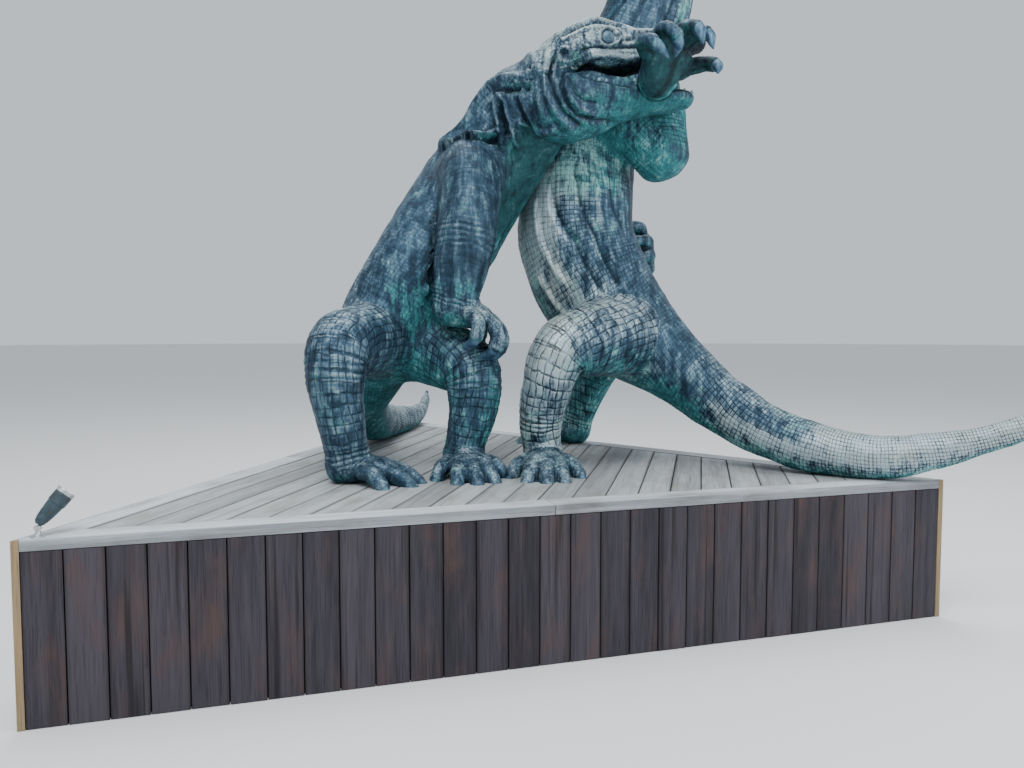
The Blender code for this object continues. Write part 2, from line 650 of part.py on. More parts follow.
def left_dragon():
    """The dragon on the left, which bites the other's wrist."""
    parts = lengths("left", body_rows(LEFT_SPINE), LEFT_SPINE_CUTS, TRUNK_SIDES, 1.6, BRONZE)
    frame = frame_at((0.285, -0.30, 2.205), (0.938, -0.298, 0.175), (0, 0, 1))
    upper, lower = head("left", frame, math.radians(20), parts["neck"])
    parts.update(head=upper, jaw=lower)
    names = {"arm_right": ("upper_arm_right", "forearm_right"),
             "arm_left": ("upper_arm_left", "forearm_left"),
             "leg_right": ("thigh_right", "shin_right"), "leg_left": ("thigh_left", "shin_left")}
    for limb_name, (upper_name, lower_name) in names.items():
        parts[upper_name], parts[lower_name] = limb(
            "left", limb_name, LEFT_LIMBS[limb_name], upper_name, lower_name)
    parts["hand_right"] = paw(
        "left_hand_right", frame_at((-0.235, -0.325, 0.90), (0.92, -0.32, -0.28), (0.3, -0.1, 0.9)),
        HAND_LENGTH, 0.25, 0.13, HAND_DIGITS, 1.5, 0.105)
    parts["hand_left"] = paw(
        "left_hand_left", frame_at((1.195, 0.44, 1.30), (0.05, -0.98, -0.10), (0.95, 0.15, 0.1)),
        HAND_LENGTH, 0.29, 0.11, HAND_DIGITS, 1.5, 0.09)
    parts["foot_right"] = paw(
        "left_foot_right", frame_at((-0.835, -0.375, 0.08), (0.92, -0.34, -0.06), (0, 0, 1)),
        FOOT_LENGTH, 0.25, 0.12, FOOT_DIGITS, 0.75, 0.10)
    parts["foot_left"] = paw(
        "left_foot_left", frame_at((-0.175, -0.25, 0.08), (-0.05, -1.0, -0.06), (0, 0, 1)),
        FOOT_LENGTH, 0.25, 0.12, FOOT_DIGITS, 0.75, 0.10)
    return parts


def right_dragon():
    """The dragon on the right, with its left wrist in the other's jaws."""
    parts = lengths("right", body_rows(RIGHT_SPINE), RIGHT_SPINE_CUTS, TRUNK_SIDES, 1.6, BRONZE)
    frame = frame_at((0.99, 0.10, 3.28), (-0.84, 0.27, 0.47), (0.3, -0.1, 0.95))
    upper, lower = head("right", frame, math.radians(9), parts["neck"])
    parts.update(head=upper, jaw=lower)
    names = {"arm_right": ("upper_arm_right", "forearm_right"),
             "leg_left": ("thigh_left", "shin_left"), "leg_right": ("thigh_right", "shin_right")}
    for limb_name, (upper_name, lower_name) in names.items():
        parts[upper_name], parts[lower_name] = limb(
            "right", limb_name, RIGHT_LIMBS[limb_name], upper_name, lower_name)
    upper_arm = sections(limb_rows(RIGHT_RAISED_UPPER_ARM), 0, 3, 7)
    forearm = sections(limb_rows(RIGHT_RAISED_FOREARM, back=(0.2, 1.0, 0.1)), 0, 5, 10)
    parts["upper_arm_left"] = tube("right_upper_arm_left", upper_arm, LIMB_SIDES, BRONZE, True, True)
    parts["forearm_left"] = tube("right_forearm_left", forearm, LIMB_SIDES, BRONZE, True, False)
    parts["hand_left"] = paw(
        "right_hand_left", frame_at((0.80, -0.635, 2.14), (0.33, -0.30, 0.90), (-0.285, 0.88, 0.38)),
        HAND_LENGTH, 0.34, 0.15, RAISED_DIGITS, 2.0, 0.094)
    parts["hand_right"] = paw(
        "right_hand_right", frame_at((0.225, 0.64, 2.00), (-0.75, -0.55, -0.35), (-0.3, 0.7, 0.6)),
        HAND_LENGTH, 0.25, 0.12, HAND_DIGITS, 1.1, 0.095)
    parts["foot_left"] = paw(
        "right_foot_left", frame_at((0.275, -0.34, 0.08), (-0.30, -0.95, -0.06), (0, 0, 1)),
        FOOT_LENGTH, 0.25, 0.12, FOOT_DIGITS, 0.75, 0.10)
    parts["foot_right"] = paw(
        "right_foot_right", frame_at((0.885, 0.72, 0.08), (-0.84, 0.50, -0.06), (0, 0, 1)),
        FOOT_LENGTH, 0.25, 0.12, FOOT_DIGITS, 0.75, 0.095)
    return parts


def main():
    clear_scene()
    plinth()
    spot_lamp()
    left = left_dragon()
    right = right_dragon()
    for parts in (left, right):
        for thing in parts.values():
            middle = sum((v.co for v in thing.data.vertices), Vector()) / len(thing.data.vertices)
            cut_flat(thing, (middle.x, middle.y, PLINTH_HEIGHT + GAP), (0, 0, -1))
    both = (left, right)
    lengths_of_body = ("trunk", "tail_base", "tail_middle", "tail_tip", "neck")
    body = [parts[name] for name in lengths_of_body for parts in both]
    bitten = [right["upper_arm_left"], right["forearm_left"], right["hand_left"]]
    heads = [parts[name] for name in ("head", "jaw") for parts in both]
    limbs = [parts[f"{bone}_{side}"]
             for bone in ("thigh", "shin", "foot", "upper_arm", "forearm", "hand")
             for side in ("left", "right") for parts in both]
    clear_each_other(body + bitten + heads + [thing for thing in limbs if thing not in bitten])


main()
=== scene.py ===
"""Dresses the CAD frame of a bronze of two wrestling Komodo dragons on a triangular timber plinth.

Each dragon's solids are replaced by one cast skin with scales, folds, claws, teeth and eyes. The timber
plinth gets its boards and the corner lamp its housing. Metres, +Z up, in the frame's own coordinates.
"""

import math

import bmesh
import bpy
import numpy as np
from mathutils import Matrix, Vector


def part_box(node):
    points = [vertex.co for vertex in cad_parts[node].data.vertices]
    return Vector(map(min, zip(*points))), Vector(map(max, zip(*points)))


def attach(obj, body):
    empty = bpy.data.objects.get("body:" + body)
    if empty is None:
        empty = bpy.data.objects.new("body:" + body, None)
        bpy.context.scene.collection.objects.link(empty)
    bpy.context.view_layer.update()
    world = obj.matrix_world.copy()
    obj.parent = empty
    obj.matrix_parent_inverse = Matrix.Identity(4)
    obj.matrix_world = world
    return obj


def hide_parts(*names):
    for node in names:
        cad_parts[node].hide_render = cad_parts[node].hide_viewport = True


bl_info = {
    "name": "Wrestling Dragons Bronze",
    "version": (1, 0, 0),
    "blender": (4, 5, 0),
    "location": "View3D > Sidebar > Bronze",
    "description": "Builds the bronze skins, claws, teeth, eyes, timber boards and lamp of a sculpture",
    "category": "Object",
}

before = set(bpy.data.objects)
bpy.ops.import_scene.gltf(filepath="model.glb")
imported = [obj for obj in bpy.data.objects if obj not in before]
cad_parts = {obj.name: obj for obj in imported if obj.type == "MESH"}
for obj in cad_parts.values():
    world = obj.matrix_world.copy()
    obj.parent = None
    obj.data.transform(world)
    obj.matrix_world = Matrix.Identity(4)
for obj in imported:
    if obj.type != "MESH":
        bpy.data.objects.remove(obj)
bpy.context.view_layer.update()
DECK = float(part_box("plinth_edge_front")[1][2])  # the plinth's top

# Where the visitor stands: eye height, and the way they face
CAMERA_PLACE = (-1.357, -4.887, 1.5385)
CAMERA_HEADING = math.radians(17.6)
CAMERA_TILT = math.radians(-3.66)
CAMERA_LENS = 30.234

HEAD_LENGTH = 0.90
HAND_LENGTH = 0.20
FOOT_LENGTH = 0.25
DIGIT_RADIUS = 0.042
CLAW_LENGTH = 0.12
TOOTH_LENGTH = 0.015
EYE_PLACE = (0.39 * HEAD_LENGTH, 0.158, 0.088)  # forward, aside and up from the nape
COARSE = 5  # every fifth section is enough to see what lies near a sweep
CAST_VOXEL = 0.0163  # the first, even mesh of a skin
CONTACT_GAP = 0.006  # between the two dragons' bare forms where they touch
RELIEF_REACH = 0.05  # this far from the other dragon a skin has its full relief
SOLE_LEVEL = 0.735  # soles and claws end just inside the deck

PLINTH_SIDE = 4.39
PLINTH_REACH = PLINTH_SIDE / (2 * math.sqrt(3))  # from the plinth's middle to each side
EDGE_WIDTH = 0.14
BOARD_THICKNESS = 0.028
BOARD_WEAR = 0.002  # width of a board's worn edges
EDGE_WEAR = 0.003
UNEVEN = 0.003  # how far boards stand out of line
SIDES = {"front": 0, "right": 1, "left": 2}  # turns of 120 degrees from the front

LAMP_LEAN = (0.100, 0.035, 0.145)  # from the middle of the foot to the lamp's front
LAMP_RADIUS = 0.036

# Every place on a dragon is (x, y, height over the plinth's top).
# A body section is (place, direction of the back, half width, height above and below the middle).
LEFT_SPINE = [
    ((0.25, 2.72, 0.23), (0.0, 0.0, 1.0), 0.016, 0.018, 0.016),
    ((0.15, 2.42, 0.12), (0.0, 0.0, 1.0), 0.045, 0.052, 0.042),
    ((-0.03, 2.02, 0.08), (0.0, 0.0, 1.0), 0.078, 0.090, 0.080),
    ((-0.27, 1.56, 0.10), (0.0, 0.1, 1.0), 0.110, 0.125, 0.108),
    ((-0.49, 1.08, 0.17), (0.0, 0.3, 1.0), 0.145, 0.160, 0.140),
    ((-0.63, 0.66, 0.35), (-0.2, 0.7, 0.8), 0.190, 0.200, 0.185),
    ((-0.63, 0.30, 0.58), (-0.45, 0.88, 0.35), 0.250, 0.235, 0.240),
    ((-0.51, 0.10, 0.84), (-0.5, 0.85, 0.1), 0.300, 0.265, 0.280),
    ((-0.34, 0.08, 1.10), (-0.62, 0.75, 0.2), 0.335, 0.295, 0.300),
    ((-0.17, 0.10, 1.36), (-0.72, 0.65, 0.3), 0.345, 0.305, 0.300),
    ((-0.00, 0.09, 1.62), (-0.78, 0.55, 0.4), 0.330, 0.315, 0.290),
    ((0.14, -0.01, 1.86), (-0.75, 0.42, 0.55), 0.275, 0.278, 0.285),
    ((0.23, -0.14, 2.05), (-0.60, 0.30, 0.75), 0.240, 0.257, 0.290),
    ((0.33, -0.27, 2.15), (-0.40, 0.15, 0.9), 0.218, 0.190, 0.340),
]
RIGHT_SPINE = [
    ((2.75, -1.86, 0.62), (0.0, 0.0, 1.0), 0.012, 0.014, 0.012),
    ((2.55, -1.69, 0.41), (-0.1, 0.1, 1.0), 0.036, 0.040, 0.036),
    ((2.33, -1.50, 0.26), (-0.1, 0.1, 1.0), 0.062, 0.068, 0.064),
    ((2.09, -1.32, 0.16), (0.0, 0.0, 1.0), 0.090, 0.095, 0.088),
    ((1.89, -1.15, 0.11), (0.0, 0.0, 1.0), 0.112, 0.120, 0.107),
    ((1.69, -0.88, 0.13), (0.1, -0.05, 1.0), 0.142, 0.145, 0.128),
    ((1.51, -0.64, 0.23), (0.3, -0.2, 0.9), 0.168, 0.140, 0.160),
    ((1.34, -0.45, 0.39), (0.5, -0.33, 0.8), 0.198, 0.150, 0.195),
    ((1.17, -0.27, 0.58), (0.65, -0.42, 0.6), 0.245, 0.180, 0.235),
    ((0.97, -0.09, 0.80), (0.78, -0.50, 0.35), 0.310, 0.250, 0.340),
    ((0.76, 0.01, 1.06), (0.83, -0.53, 0.2), 0.355, 0.320, 0.385),
    ((0.65, 0.09, 1.33), (0.83, -0.53, 0.1), 0.360, 0.345, 0.365),
    ((0.65, 0.12, 1.59), (0.83, -0.53, 0.0), 0.350, 0.345, 0.350),
    ((0.69, 0.15, 1.85), (0.83, -0.53, 0.0), 0.330, 0.335, 0.325),
    ((0.78, 0.15, 2.10), (0.83, -0.50, -0.2), 0.285, 0.300, 0.290),
    ((0.89, 0.13, 2.35), (0.83, -0.45, -0.3), 0.250, 0.265, 0.290),
    ((1.05, 0.09, 2.59), (0.83, -0.40, -0.3), 0.235, 0.250, 0.288),
    ((1.13, 0.06, 2.83), (0.90, -0.35, -0.1), 0.225, 0.240, 0.285),
    ((1.12, 0.06, 3.07), (0.85, -0.30, 0.4), 0.215, 0.215, 0.300),
    ((1.01, 0.10, 3.27), (0.65, -0.20, 0.8), 0.205, 0.190, 0.320),
]
# A limb station is (place, radius)
LEFT_LIMBS = {
    "arm_right": [
        ((-0.07, 0.03, 1.70), 0.150),
        ((-0.10, -0.16, 1.66), 0.178),
        ((-0.13, -0.26, 1.48), 0.165),
        ((-0.17, -0.32, 1.27), 0.158),
        ((-0.21, -0.33, 1.08), 0.140),
        ((-0.24, -0.32, 0.92), 0.112),
    ],
    "arm_left": [
        ((0.15, 0.18, 1.82), 0.150),
        ((0.30, 0.42, 1.86), 0.165),
        ((0.53, 0.66, 1.80), 0.155),
        ((0.83, 0.74, 1.62), 0.140),
        ((1.07, 0.64, 1.41), 0.115),
        ((1.20, 0.45, 1.30), 0.095),
    ],
    "leg_right": [
        ((-0.55, 0.06, 0.72), 0.200),
        ((-0.71, -0.16, 0.73), 0.200),
        ((-0.86, -0.36, 0.70), 0.170),
        ((-0.89, -0.42, 0.50), 0.142),
        ((-0.86, -0.40, 0.30), 0.120),
        ((-0.82, -0.38, 0.10), 0.105),
    ],
    "leg_left": [
        ((-0.43, 0.12, 0.72), 0.200),
        ((-0.25, -0.05, 0.66), 0.195),
        ((-0.13, -0.25, 0.57), 0.168),
        ((-0.12, -0.29, 0.38), 0.140),
        ((-0.15, -0.27, 0.22), 0.118),
        ((-0.17, -0.24, 0.10), 0.105),
    ],
}
RIGHT_LIMBS = {
    "arm_right": [
        ((0.75, 0.32, 2.04), 0.160),
        ((0.75, 0.55, 2.10), 0.165),
        ((0.69, 0.78, 2.06), 0.150),
        ((0.53, 0.84, 2.04), 0.138),
        ((0.35, 0.74, 2.04), 0.115),
        ((0.23, 0.64, 2.00), 0.100),
    ],
    "leg_left": [
        ((0.88, -0.12, 0.80), 0.215),
        ((0.72, -0.30, 0.76), 0.232),
        ((0.51, -0.42, 0.73), 0.206),
        ((0.33, -0.46, 0.67), 0.168),
        ((0.26, -0.44, 0.50), 0.138),
        ((0.24, -0.38, 0.30), 0.118),
        ((0.27, -0.33, 0.10), 0.105),
    ],
    "leg_right": [
        ((1.03, 0.06, 0.76), 0.230),
        ((1.08, 0.30, 0.75), 0.225),
        ((1.06, 0.52, 0.68), 0.190),
        ((1.00, 0.63, 0.52), 0.150),
        ((0.94, 0.67, 0.32), 0.118),
        ((0.88, 0.71, 0.10), 0.100),
    ],
    "raised_upper_arm": [
        ((0.73, -0.06, 2.14), 0.150),
        ((0.79, -0.18, 2.02), 0.150),
        ((0.91, -0.25, 1.89), 0.135),
        ((1.02, -0.27, 1.80), 0.138),
    ],
    "raised_forearm": [
        ((1.04, -0.27, 1.81), 0.148),
        ((1.05, -0.25, 1.96), 0.132),
        ((1.06, -0.25, 2.08), 0.116),
        ((1.02, -0.31, 2.17), 0.094),
        ((0.93, -0.46, 2.15), 0.090),
        ((0.82, -0.60, 2.13), 0.094),
    ],
}

# Stations along a head's axis, in head lengths and metres: (x, z, half width, above, below)
SKULL = [
    (-0.03, 0.030, 0.165, 0.095, 0.120),
    (0.09, 0.055, 0.198, 0.130, 0.100),
    (0.22, 0.060, 0.205, 0.178, 0.070),
    (0.34, 0.050, 0.190, 0.192, 0.104),
    (0.47, 0.045, 0.165, 0.135, 0.128),
    (0.66, 0.038, 0.142, 0.082, 0.114),
    (0.84, 0.030, 0.122, 0.062, 0.088),
    (0.96, 0.022, 0.088, 0.048, 0.056),
]
JAW = [
    (0.00, -0.150, 0.170, 0.110, 0.190),
    (0.14, -0.165, 0.200, 0.135, 0.230),
    (0.30, -0.145, 0.195, 0.135, 0.215),
    (0.45, -0.115, 0.172, 0.098, 0.155),
    (0.60, -0.085, 0.148, 0.066, 0.110),
    (0.76, -0.062, 0.122, 0.038, 0.083),
    (0.89, -0.045, 0.085, 0.032, 0.055),
]
HINGE = 0.18  # the jaw's hinge, in head lengths

# Where a digit leaves the palm (-1 to 1), its turn outwards, its length and its share of the curl
HAND_DIGITS = [(-1.0, -0.75, 0.15, 1.0), (-0.52, -0.28, 0.19, 1.0), (0.0, 0.0, 0.20, 1.0),
               (0.52, 0.28, 0.19, 1.0), (1.0, 0.85, 0.15, 0.9)]
RAISED_DIGITS = [(-1.0, -1.25, 0.17, 0.85), (-0.52, -0.75, 0.19, 1.05), (0.0, 0.0, 0.19, 0.70),
                 (0.52, 0.0, 0.20, 0.68), (1.0, 0.70, 0.19, 0.68)]
FOOT_DIGITS = [(-1.0, -0.60, 0.15, 1.0), (-0.52, -0.26, 0.20, 1.0), (0.0, 0.0, 0.22, 1.0),
               (0.52, 0.24, 0.20, 1.0), (1.0, 0.62, 0.14, 1.0)]


def over_plinth(place):
    return (place[0], place[1], place[2] + DECK)


def unit_rows(rows):
    return rows / np.maximum(np.linalg.norm(rows, axis=-1, keepdims=True), 1e-9)


def smooth(low, high, values):
    """0 below low, 1 above high, with soft ends."""
    t = np.clip((values - low) / (high - low), 0.0, 1.0)
    return t * t * (3 - 2 * t)


def body_rows(spine):
    return np.array([[*over_plinth(place), *back, *sizes] for place, back, *sizes in spine])


def limb_rows(limb):
    return np.array([[*over_plinth(place), 0.3, 0.4, 0.9, radius, radius, radius] for place, radius in limb])


def frame_at(origin, forward, up):
    """A matrix whose X is forward and whose Z is near up, at a place over the plinth."""
    x = Vector(forward).normalized()
    y = Vector(up).cross(x).normalized()
    z = x.cross(y)
    turn = Matrix((x, y, z)).transposed().to_4x4()
    return Matrix.Translation(Vector(over_plinth(origin))) @ turn


def local_rows(place, stations):
    """Rows in the world from stations in a frame: (x, y, z, half width, above, below)."""
    up = np.array(place.to_3x3() @ Vector((0, 0, 1)))
    return np.array([[*(place @ Vector(station[:3])), *up, *station[3:]] for station in stations])


def catmull_rom(values, at):
    """The smooth curve through evenly numbered rows, read at many station numbers."""
    last = len(values) - 1
    i = np.clip(np.floor(at).astype(int), 0, last - 1)
    t = (at - i)[:, None]
    start, end = values[i], values[i + 1]
    before = np.where((i == 0)[:, None], 2 * start - end, values[np.maximum(i - 1, 0)])
    after = np.where((i + 1 == last)[:, None], 2 * end - start, values[np.minimum(i + 2, last)])
    return start + 0.5 * t * (
        end - before
        + t * (2 * before - 5 * start + 4 * end - after + t * (3 * (start - end) + after - before))
    )


class Sweep:
    """A body, limb or digit: oval sections along a smooth line, with a measure of what lies near it."""

    def __init__(self, name, rows, step=0.02, blend=0.05, own_back=False, end=None):
        self.name = name
        self.blend = blend
        last = len(rows) - 1 if end is None else end
        fine = np.linspace(0, last, 30 * len(rows))
        run = catmull_rom(rows, fine)[:, :3]
        travelled = np.concatenate([[0], np.cumsum(np.linalg.norm(np.diff(run, axis=0), axis=1))])
        count = max(4, round(travelled[-1] / step))
        at = np.interp(np.linspace(0, travelled[-1], count + 1), travelled, fine)
        line = catmull_rom(rows, at)
        self.step = travelled[-1] / count
        self.length = travelled[-1]
        forward = unit_rows(np.gradient(line[:, :3], axis=0))
        left = np.cross(line[:, 3:6], forward)
        if own_back:
            left = unit_rows(left)
        else:
            left[0] = left[0] / np.linalg.norm(left[0])
            for k in range(1, len(left)):
                side = left[k - 1] - forward[k] * np.dot(left[k - 1], forward[k])
                left[k] = side / np.linalg.norm(side)
        up = np.cross(forward, left)
        self.middles = line[:, :3]
        self.table = np.hstack([line[:, :3], left, up, forward, line[:, 6:9], at[:, None]])
        self.reach = line[:, 6:9].max() + 0.08
        self.low = self.middles.min(axis=0) - self.reach
        self.high = self.middles.max(axis=0) + self.reach

    def near(self, points):
        """Numbers of the points within a hand's width of the surface."""
        boxed = np.flatnonzero(np.all((points > self.low) & (points < self.high), axis=1))
        few = self.middles[::COARSE].astype(np.float32)
        some = points[boxed].astype(np.float32)
        gap = np.full(len(boxed), 1e9, np.float32)
        for middle in few:
            gap = np.minimum(gap, ((some - middle) ** 2).sum(1))
        return boxed[gap < (self.reach + COARSE * self.step) ** 2]

    def measure(self, points):
        """Depth (negative inside), outward direction, distance along, angle from the back, girth, station."""
        middles = (self.middles - self.low).astype(np.float32)
        some = (points - self.low).astype(np.float32)
        nearest = np.zeros(len(points), int)
        for k in range(0, len(points), 20000):
            squares = (middles ** 2).sum(1) - some[k:k + 20000] @ (2 * middles.T)
            nearest[k:k + 20000] = np.argmin(squares, axis=1)
        at = nearest + ((points - self.middles[nearest]) * self.table[nearest, 9:12]).sum(1) / self.step
        at = np.clip(at, 0, len(self.middles) - 1)
        low = np.minimum(at.astype(int), len(self.middles) - 2)
        share = (at - low)[:, None]
        row = self.table[low] * (1 - share) + self.table[low + 1] * share
        away = points - row[:, :3]
        left, up, forward = row[:, 3:6], row[:, 6:9], row[:, 9:12]
        x, y, z = ((away * axis).sum(1) for axis in (left, up, forward))
        wide = row[:, 12]
        high = np.where(y > 0, row[:, 13], row[:, 14])
        cap = 0.8 * np.minimum(wide, high)
        ratio = np.sqrt((x / wide) ** 2 + (y / high) ** 2 + (z / cap) ** 2) + 1e-9
        reach = np.sqrt(x * x + y * y + z * z)
        out = unit_rows(left * (x / wide ** 2)[:, None] + up * (y / high ** 2)[:, None]
                        + forward * (z / cap ** 2)[:, None])
        girth = (wide + 0.5 * (row[:, 13] + row[:, 14])) / 2
        return reach * (1 - 1 / ratio), out, at * self.step, np.arctan2(x, y), girth, row[:, 15]

    def along(self, station):
        """Distance along the line at a station number."""
        return np.interp(station, self.table[:, 15], np.arange(len(self.table))) * self.step

    def loft(self, points, faces, sides=20):
        """Adds a closed tube over the sections to a list of points and faces."""
        start = len(points)
        rings = []
        dome = ((0.5, 0.82), (0.86, 0.5))
        rows = [(self.table[0], s, -d) for s, d in dome] + [(row, 1.0, 0.0) for row in self.table]
        rows += [(self.table[-1], s, d) for s, d in reversed(dome)]
        for row, scale, out in rows:
            cap = 0.8 * min(row[12:15])
            middle = row[:3] + row[9:12] * (out * cap)
            turns = 2 * math.pi * (np.arange(sides) + 0.5) / sides
            rise = np.where(np.sin(turns) > 0, row[13], row[14]) * np.sin(turns)
            rings.append(middle + scale * (np.outer(np.cos(turns) * row[12], row[3:6])
                                           + np.outer(rise, row[6:9])))
        for ring in rings:
            points.extend(ring.tolist())
        for i in range(len(rings) - 1):
            a, b = start + i * sides, start + (i + 1) * sides
            faces.extend((a + k, a + (k + 1) % sides, b + (k + 1) % sides, b + k) for k in range(sides))
        faces.append(tuple(start + k for k in reversed(range(sides))))
        faces.append(tuple(start + (len(rings) - 1) * sides + k for k in range(sides)))


def digit_rows(place, base, yaw, length, curl):
    """A finger and its hooked claw as one tapering line, bending down as it goes."""
    spot, pitch = Vector(base), 0.0
    sizes = (1.05, 1.0, 1.06, 0.92, 0.92, 0.76, 0.52, 0.14)
    steps = [length * 0.27] * 4 + [CLAW_LENGTH / 3] * 3
    bends = (0.10, 0.28, 0.28, 0.34, 0.35, 0.35, 0.0)
    rows = []
    for k, size in enumerate(sizes):
        up = place.to_3x3() @ Vector((math.cos(yaw) * math.sin(pitch), math.sin(yaw) * math.sin(pitch),
                                      math.cos(pitch)))
        radius = DIGIT_RADIUS * size
        rows.append([*(place @ spot), *up, radius, radius, radius])
        if k < len(steps):
            pitch += curl * bends[k]
            way = Vector((math.cos(yaw) * math.cos(pitch), math.sin(yaw) * math.cos(pitch), -math.sin(pitch)))
            spot = spot + way * steps[k]
    return np.array(rows)


class Dragon:
    """One dragon's sweeps, head frame and claws."""

    def __init__(self, side, spine, spine_end, limbs, head, gape, paws):
        self.side = side
        self.sweeps = [Sweep("spine", body_rows(spine), 0.02, 0.05, own_back=True, end=spine_end)]
        self.head = head
        skull = local_rows(head, [(x * HEAD_LENGTH, 0, z, *rest) for x, z, *rest in SKULL])
        self.sweeps.append(Sweep("skull", skull, 0.012, 0.07, own_back=True))
        hinge = Vector((HINGE * HEAD_LENGTH, 0, 0))
        self.drop = Matrix.Translation(hinge) @ Matrix.Rotation(gape, 4, "Y") @ Matrix.Translation(-hinge)
        jaw = local_rows(head @ self.drop, [(x * HEAD_LENGTH, 0, z, *rest) for x, z, *rest in JAW])
        self.sweeps.append(Sweep("jaw", jaw, 0.012, 0.012, own_back=True))
        for name, stations in limbs.items():
            self.sweeps.append(Sweep(name, limb_rows(stations), 0.015, 0.07))
        self.claws = []
        for name, (place, length, width, thick, digits, curl, limb_end) in paws.items():
            palm = local_rows(place, [
                (-0.12 * length, 0, 0, limb_end * 0.96, limb_end * 0.9, limb_end * 0.85),
                (0.40 * length, 0, 0, 0.80 * width / 2, thick * 0.60, thick * 0.55),
                (0.85 * length, 0, 0, width / 2, thick * 0.50, thick * 0.50),
                (1.00 * length, 0, 0, 0.86 * width / 2, thick * 0.34, thick * 0.36),
            ])
            self.sweeps.append(Sweep(name, palm, 0.01, 0.05, own_back=True))
            for k, (out, yaw, long, bend) in enumerate(digits):
                base = (length * (0.80 - 0.35 * abs(out) ** 3), out * width * 0.42, 0)
                rows = digit_rows(place, base, yaw, long, curl * bend)
                self.sweeps.append(Sweep(f"{name}_digit_{k}", rows[:5], 0.008, 0.022, own_back=True))
                self.claws.append(rows[4:])

    def reached(self, points):
        """For each sweep, the numbers of the points that its surface comes close to."""
        picks = []
        for sweep in self.sweeps:
            pick = sweep.near(points)
            picks.append(pick[sweep.measure(points[pick])[0] < 0.10] if len(pick) else pick)
        return picks

    def field(self, points, picks):
        """Distance from the skin (negative inside) and outward direction; sweeps run softly together."""
        depth = np.full(len(points), 9.0)
        out = np.zeros((len(points), 3))
        for sweep, pick in zip(self.sweeps, picks):
            if len(pick) == 0:
                continue
            own, way, *_ = sweep.measure(points[pick])
            soft = sweep.blend
            share = np.clip(0.5 + 0.5 * (depth[pick] - own) / soft, 0, 1)
            depth[pick] = depth[pick] * (1 - share) + own * share - soft * share * (1 - share)
            out[pick] = out[pick] * (1 - share)[:, None] + way * share[:, None]
        return depth, unit_rows(out)


def left_dragon():
    paws = {
        "hand_right": (frame_at((-0.235, -0.325, 0.90), (0.92, -0.32, -0.28), (0.3, -0.1, 0.9)),
                       HAND_LENGTH, 0.25, 0.13, HAND_DIGITS, 1.5, 0.105),
        "hand_left": (frame_at((1.195, 0.44, 1.30), (0.05, -0.98, -0.10), (0.95, 0.15, 0.1)),
                      HAND_LENGTH, 0.29, 0.11, HAND_DIGITS, 1.5, 0.09),
        "foot_right": (frame_at((-0.835, -0.375, 0.08), (0.92, -0.34, -0.06), (0, 0, 1)),
                       FOOT_LENGTH, 0.25, 0.12, FOOT_DIGITS, 0.75, 0.10),
        "foot_left": (frame_at((-0.175, -0.25, 0.08), (-0.05, -1.0, -0.06), (0, 0, 1)),
                      FOOT_LENGTH, 0.25, 0.12, FOOT_DIGITS, 0.75, 0.10),
    }
    head = frame_at((0.285, -0.30, 2.205), (0.938, -0.298, 0.175), (0, 0, 1))
    return Dragon("left", LEFT_SPINE, 13, LEFT_LIMBS, head, math.radians(20), paws)


def right_dragon():
    paws = {
        "hand_left": (frame_at((0.80, -0.635, 2.14), (0.33, -0.30, 0.90), (-0.285, 0.88, 0.38)),
                      HAND_LENGTH, 0.34, 0.15, RAISED_DIGITS, 2.0, 0.094),
        "hand_right": (frame_at((0.225, 0.64, 2.00), (-0.75, -0.55, -0.35), (-0.3, 0.7, 0.6)),
                       HAND_LENGTH, 0.25, 0.12, HAND_DIGITS, 1.1, 0.095),
        "foot_left": (frame_at((0.275, -0.34, 0.08), (-0.30, -0.95, -0.06), (0, 0, 1)),
                      FOOT_LENGTH, 0.25, 0.12, FOOT_DIGITS, 0.75, 0.10),
        "foot_right": (frame_at((0.885, 0.72, 0.08), (-0.84, 0.50, -0.06), (0, 0, 1)),
                       FOOT_LENGTH, 0.25, 0.12, FOOT_DIGITS, 0.75, 0.095),
    }
    head = frame_at((0.99, 0.10, 3.28), (-0.84, 0.27, 0.47), (0.3, -0.1, 0.95))
    return Dragon("right", RIGHT_SPINE, 19, RIGHT_LIMBS, head, math.radians(9), paws)


# ---- the cast skins

def mesh_from(points, faces, name="shape"):
    mesh = bpy.data.meshes.new(name)
    mesh.from_pydata(points, [], faces)
    return mesh


def shown(name, mesh):
    thing = bpy.data.objects.new(name, mesh)
    bpy.context.scene.collection.objects.link(thing)
    return thing


def discard(thing):
    mesh = thing.data
    bpy.data.objects.remove(thing, do_unlink=True)
    bpy.data.meshes.remove(mesh)


def settled(thing):
    """The mesh that an object's modifiers make, as a plain mesh; the object goes."""
    bpy.context.view_layer.update()
    mesh = bpy.data.meshes.new_from_object(thing.evaluated_get(bpy.context.evaluated_depsgraph_get()))
    thing.modifiers.clear()
    discard(thing)
    return mesh


def points_of(mesh):
    flat = np.empty(len(mesh.vertices) * 3, np.float32)
    mesh.vertices.foreach_get("co", flat)
    return flat.reshape(-1, 3).astype(float)


def put_points(mesh, points):
    mesh.vertices.foreach_set("co", points.astype(np.float32).ravel())
    mesh.update()


def quads_of(mesh):
    flat = np.empty(len(mesh.loops), np.int32)
    mesh.loops.foreach_get("vertex_index", flat)
    return flat.reshape(-1, 4)


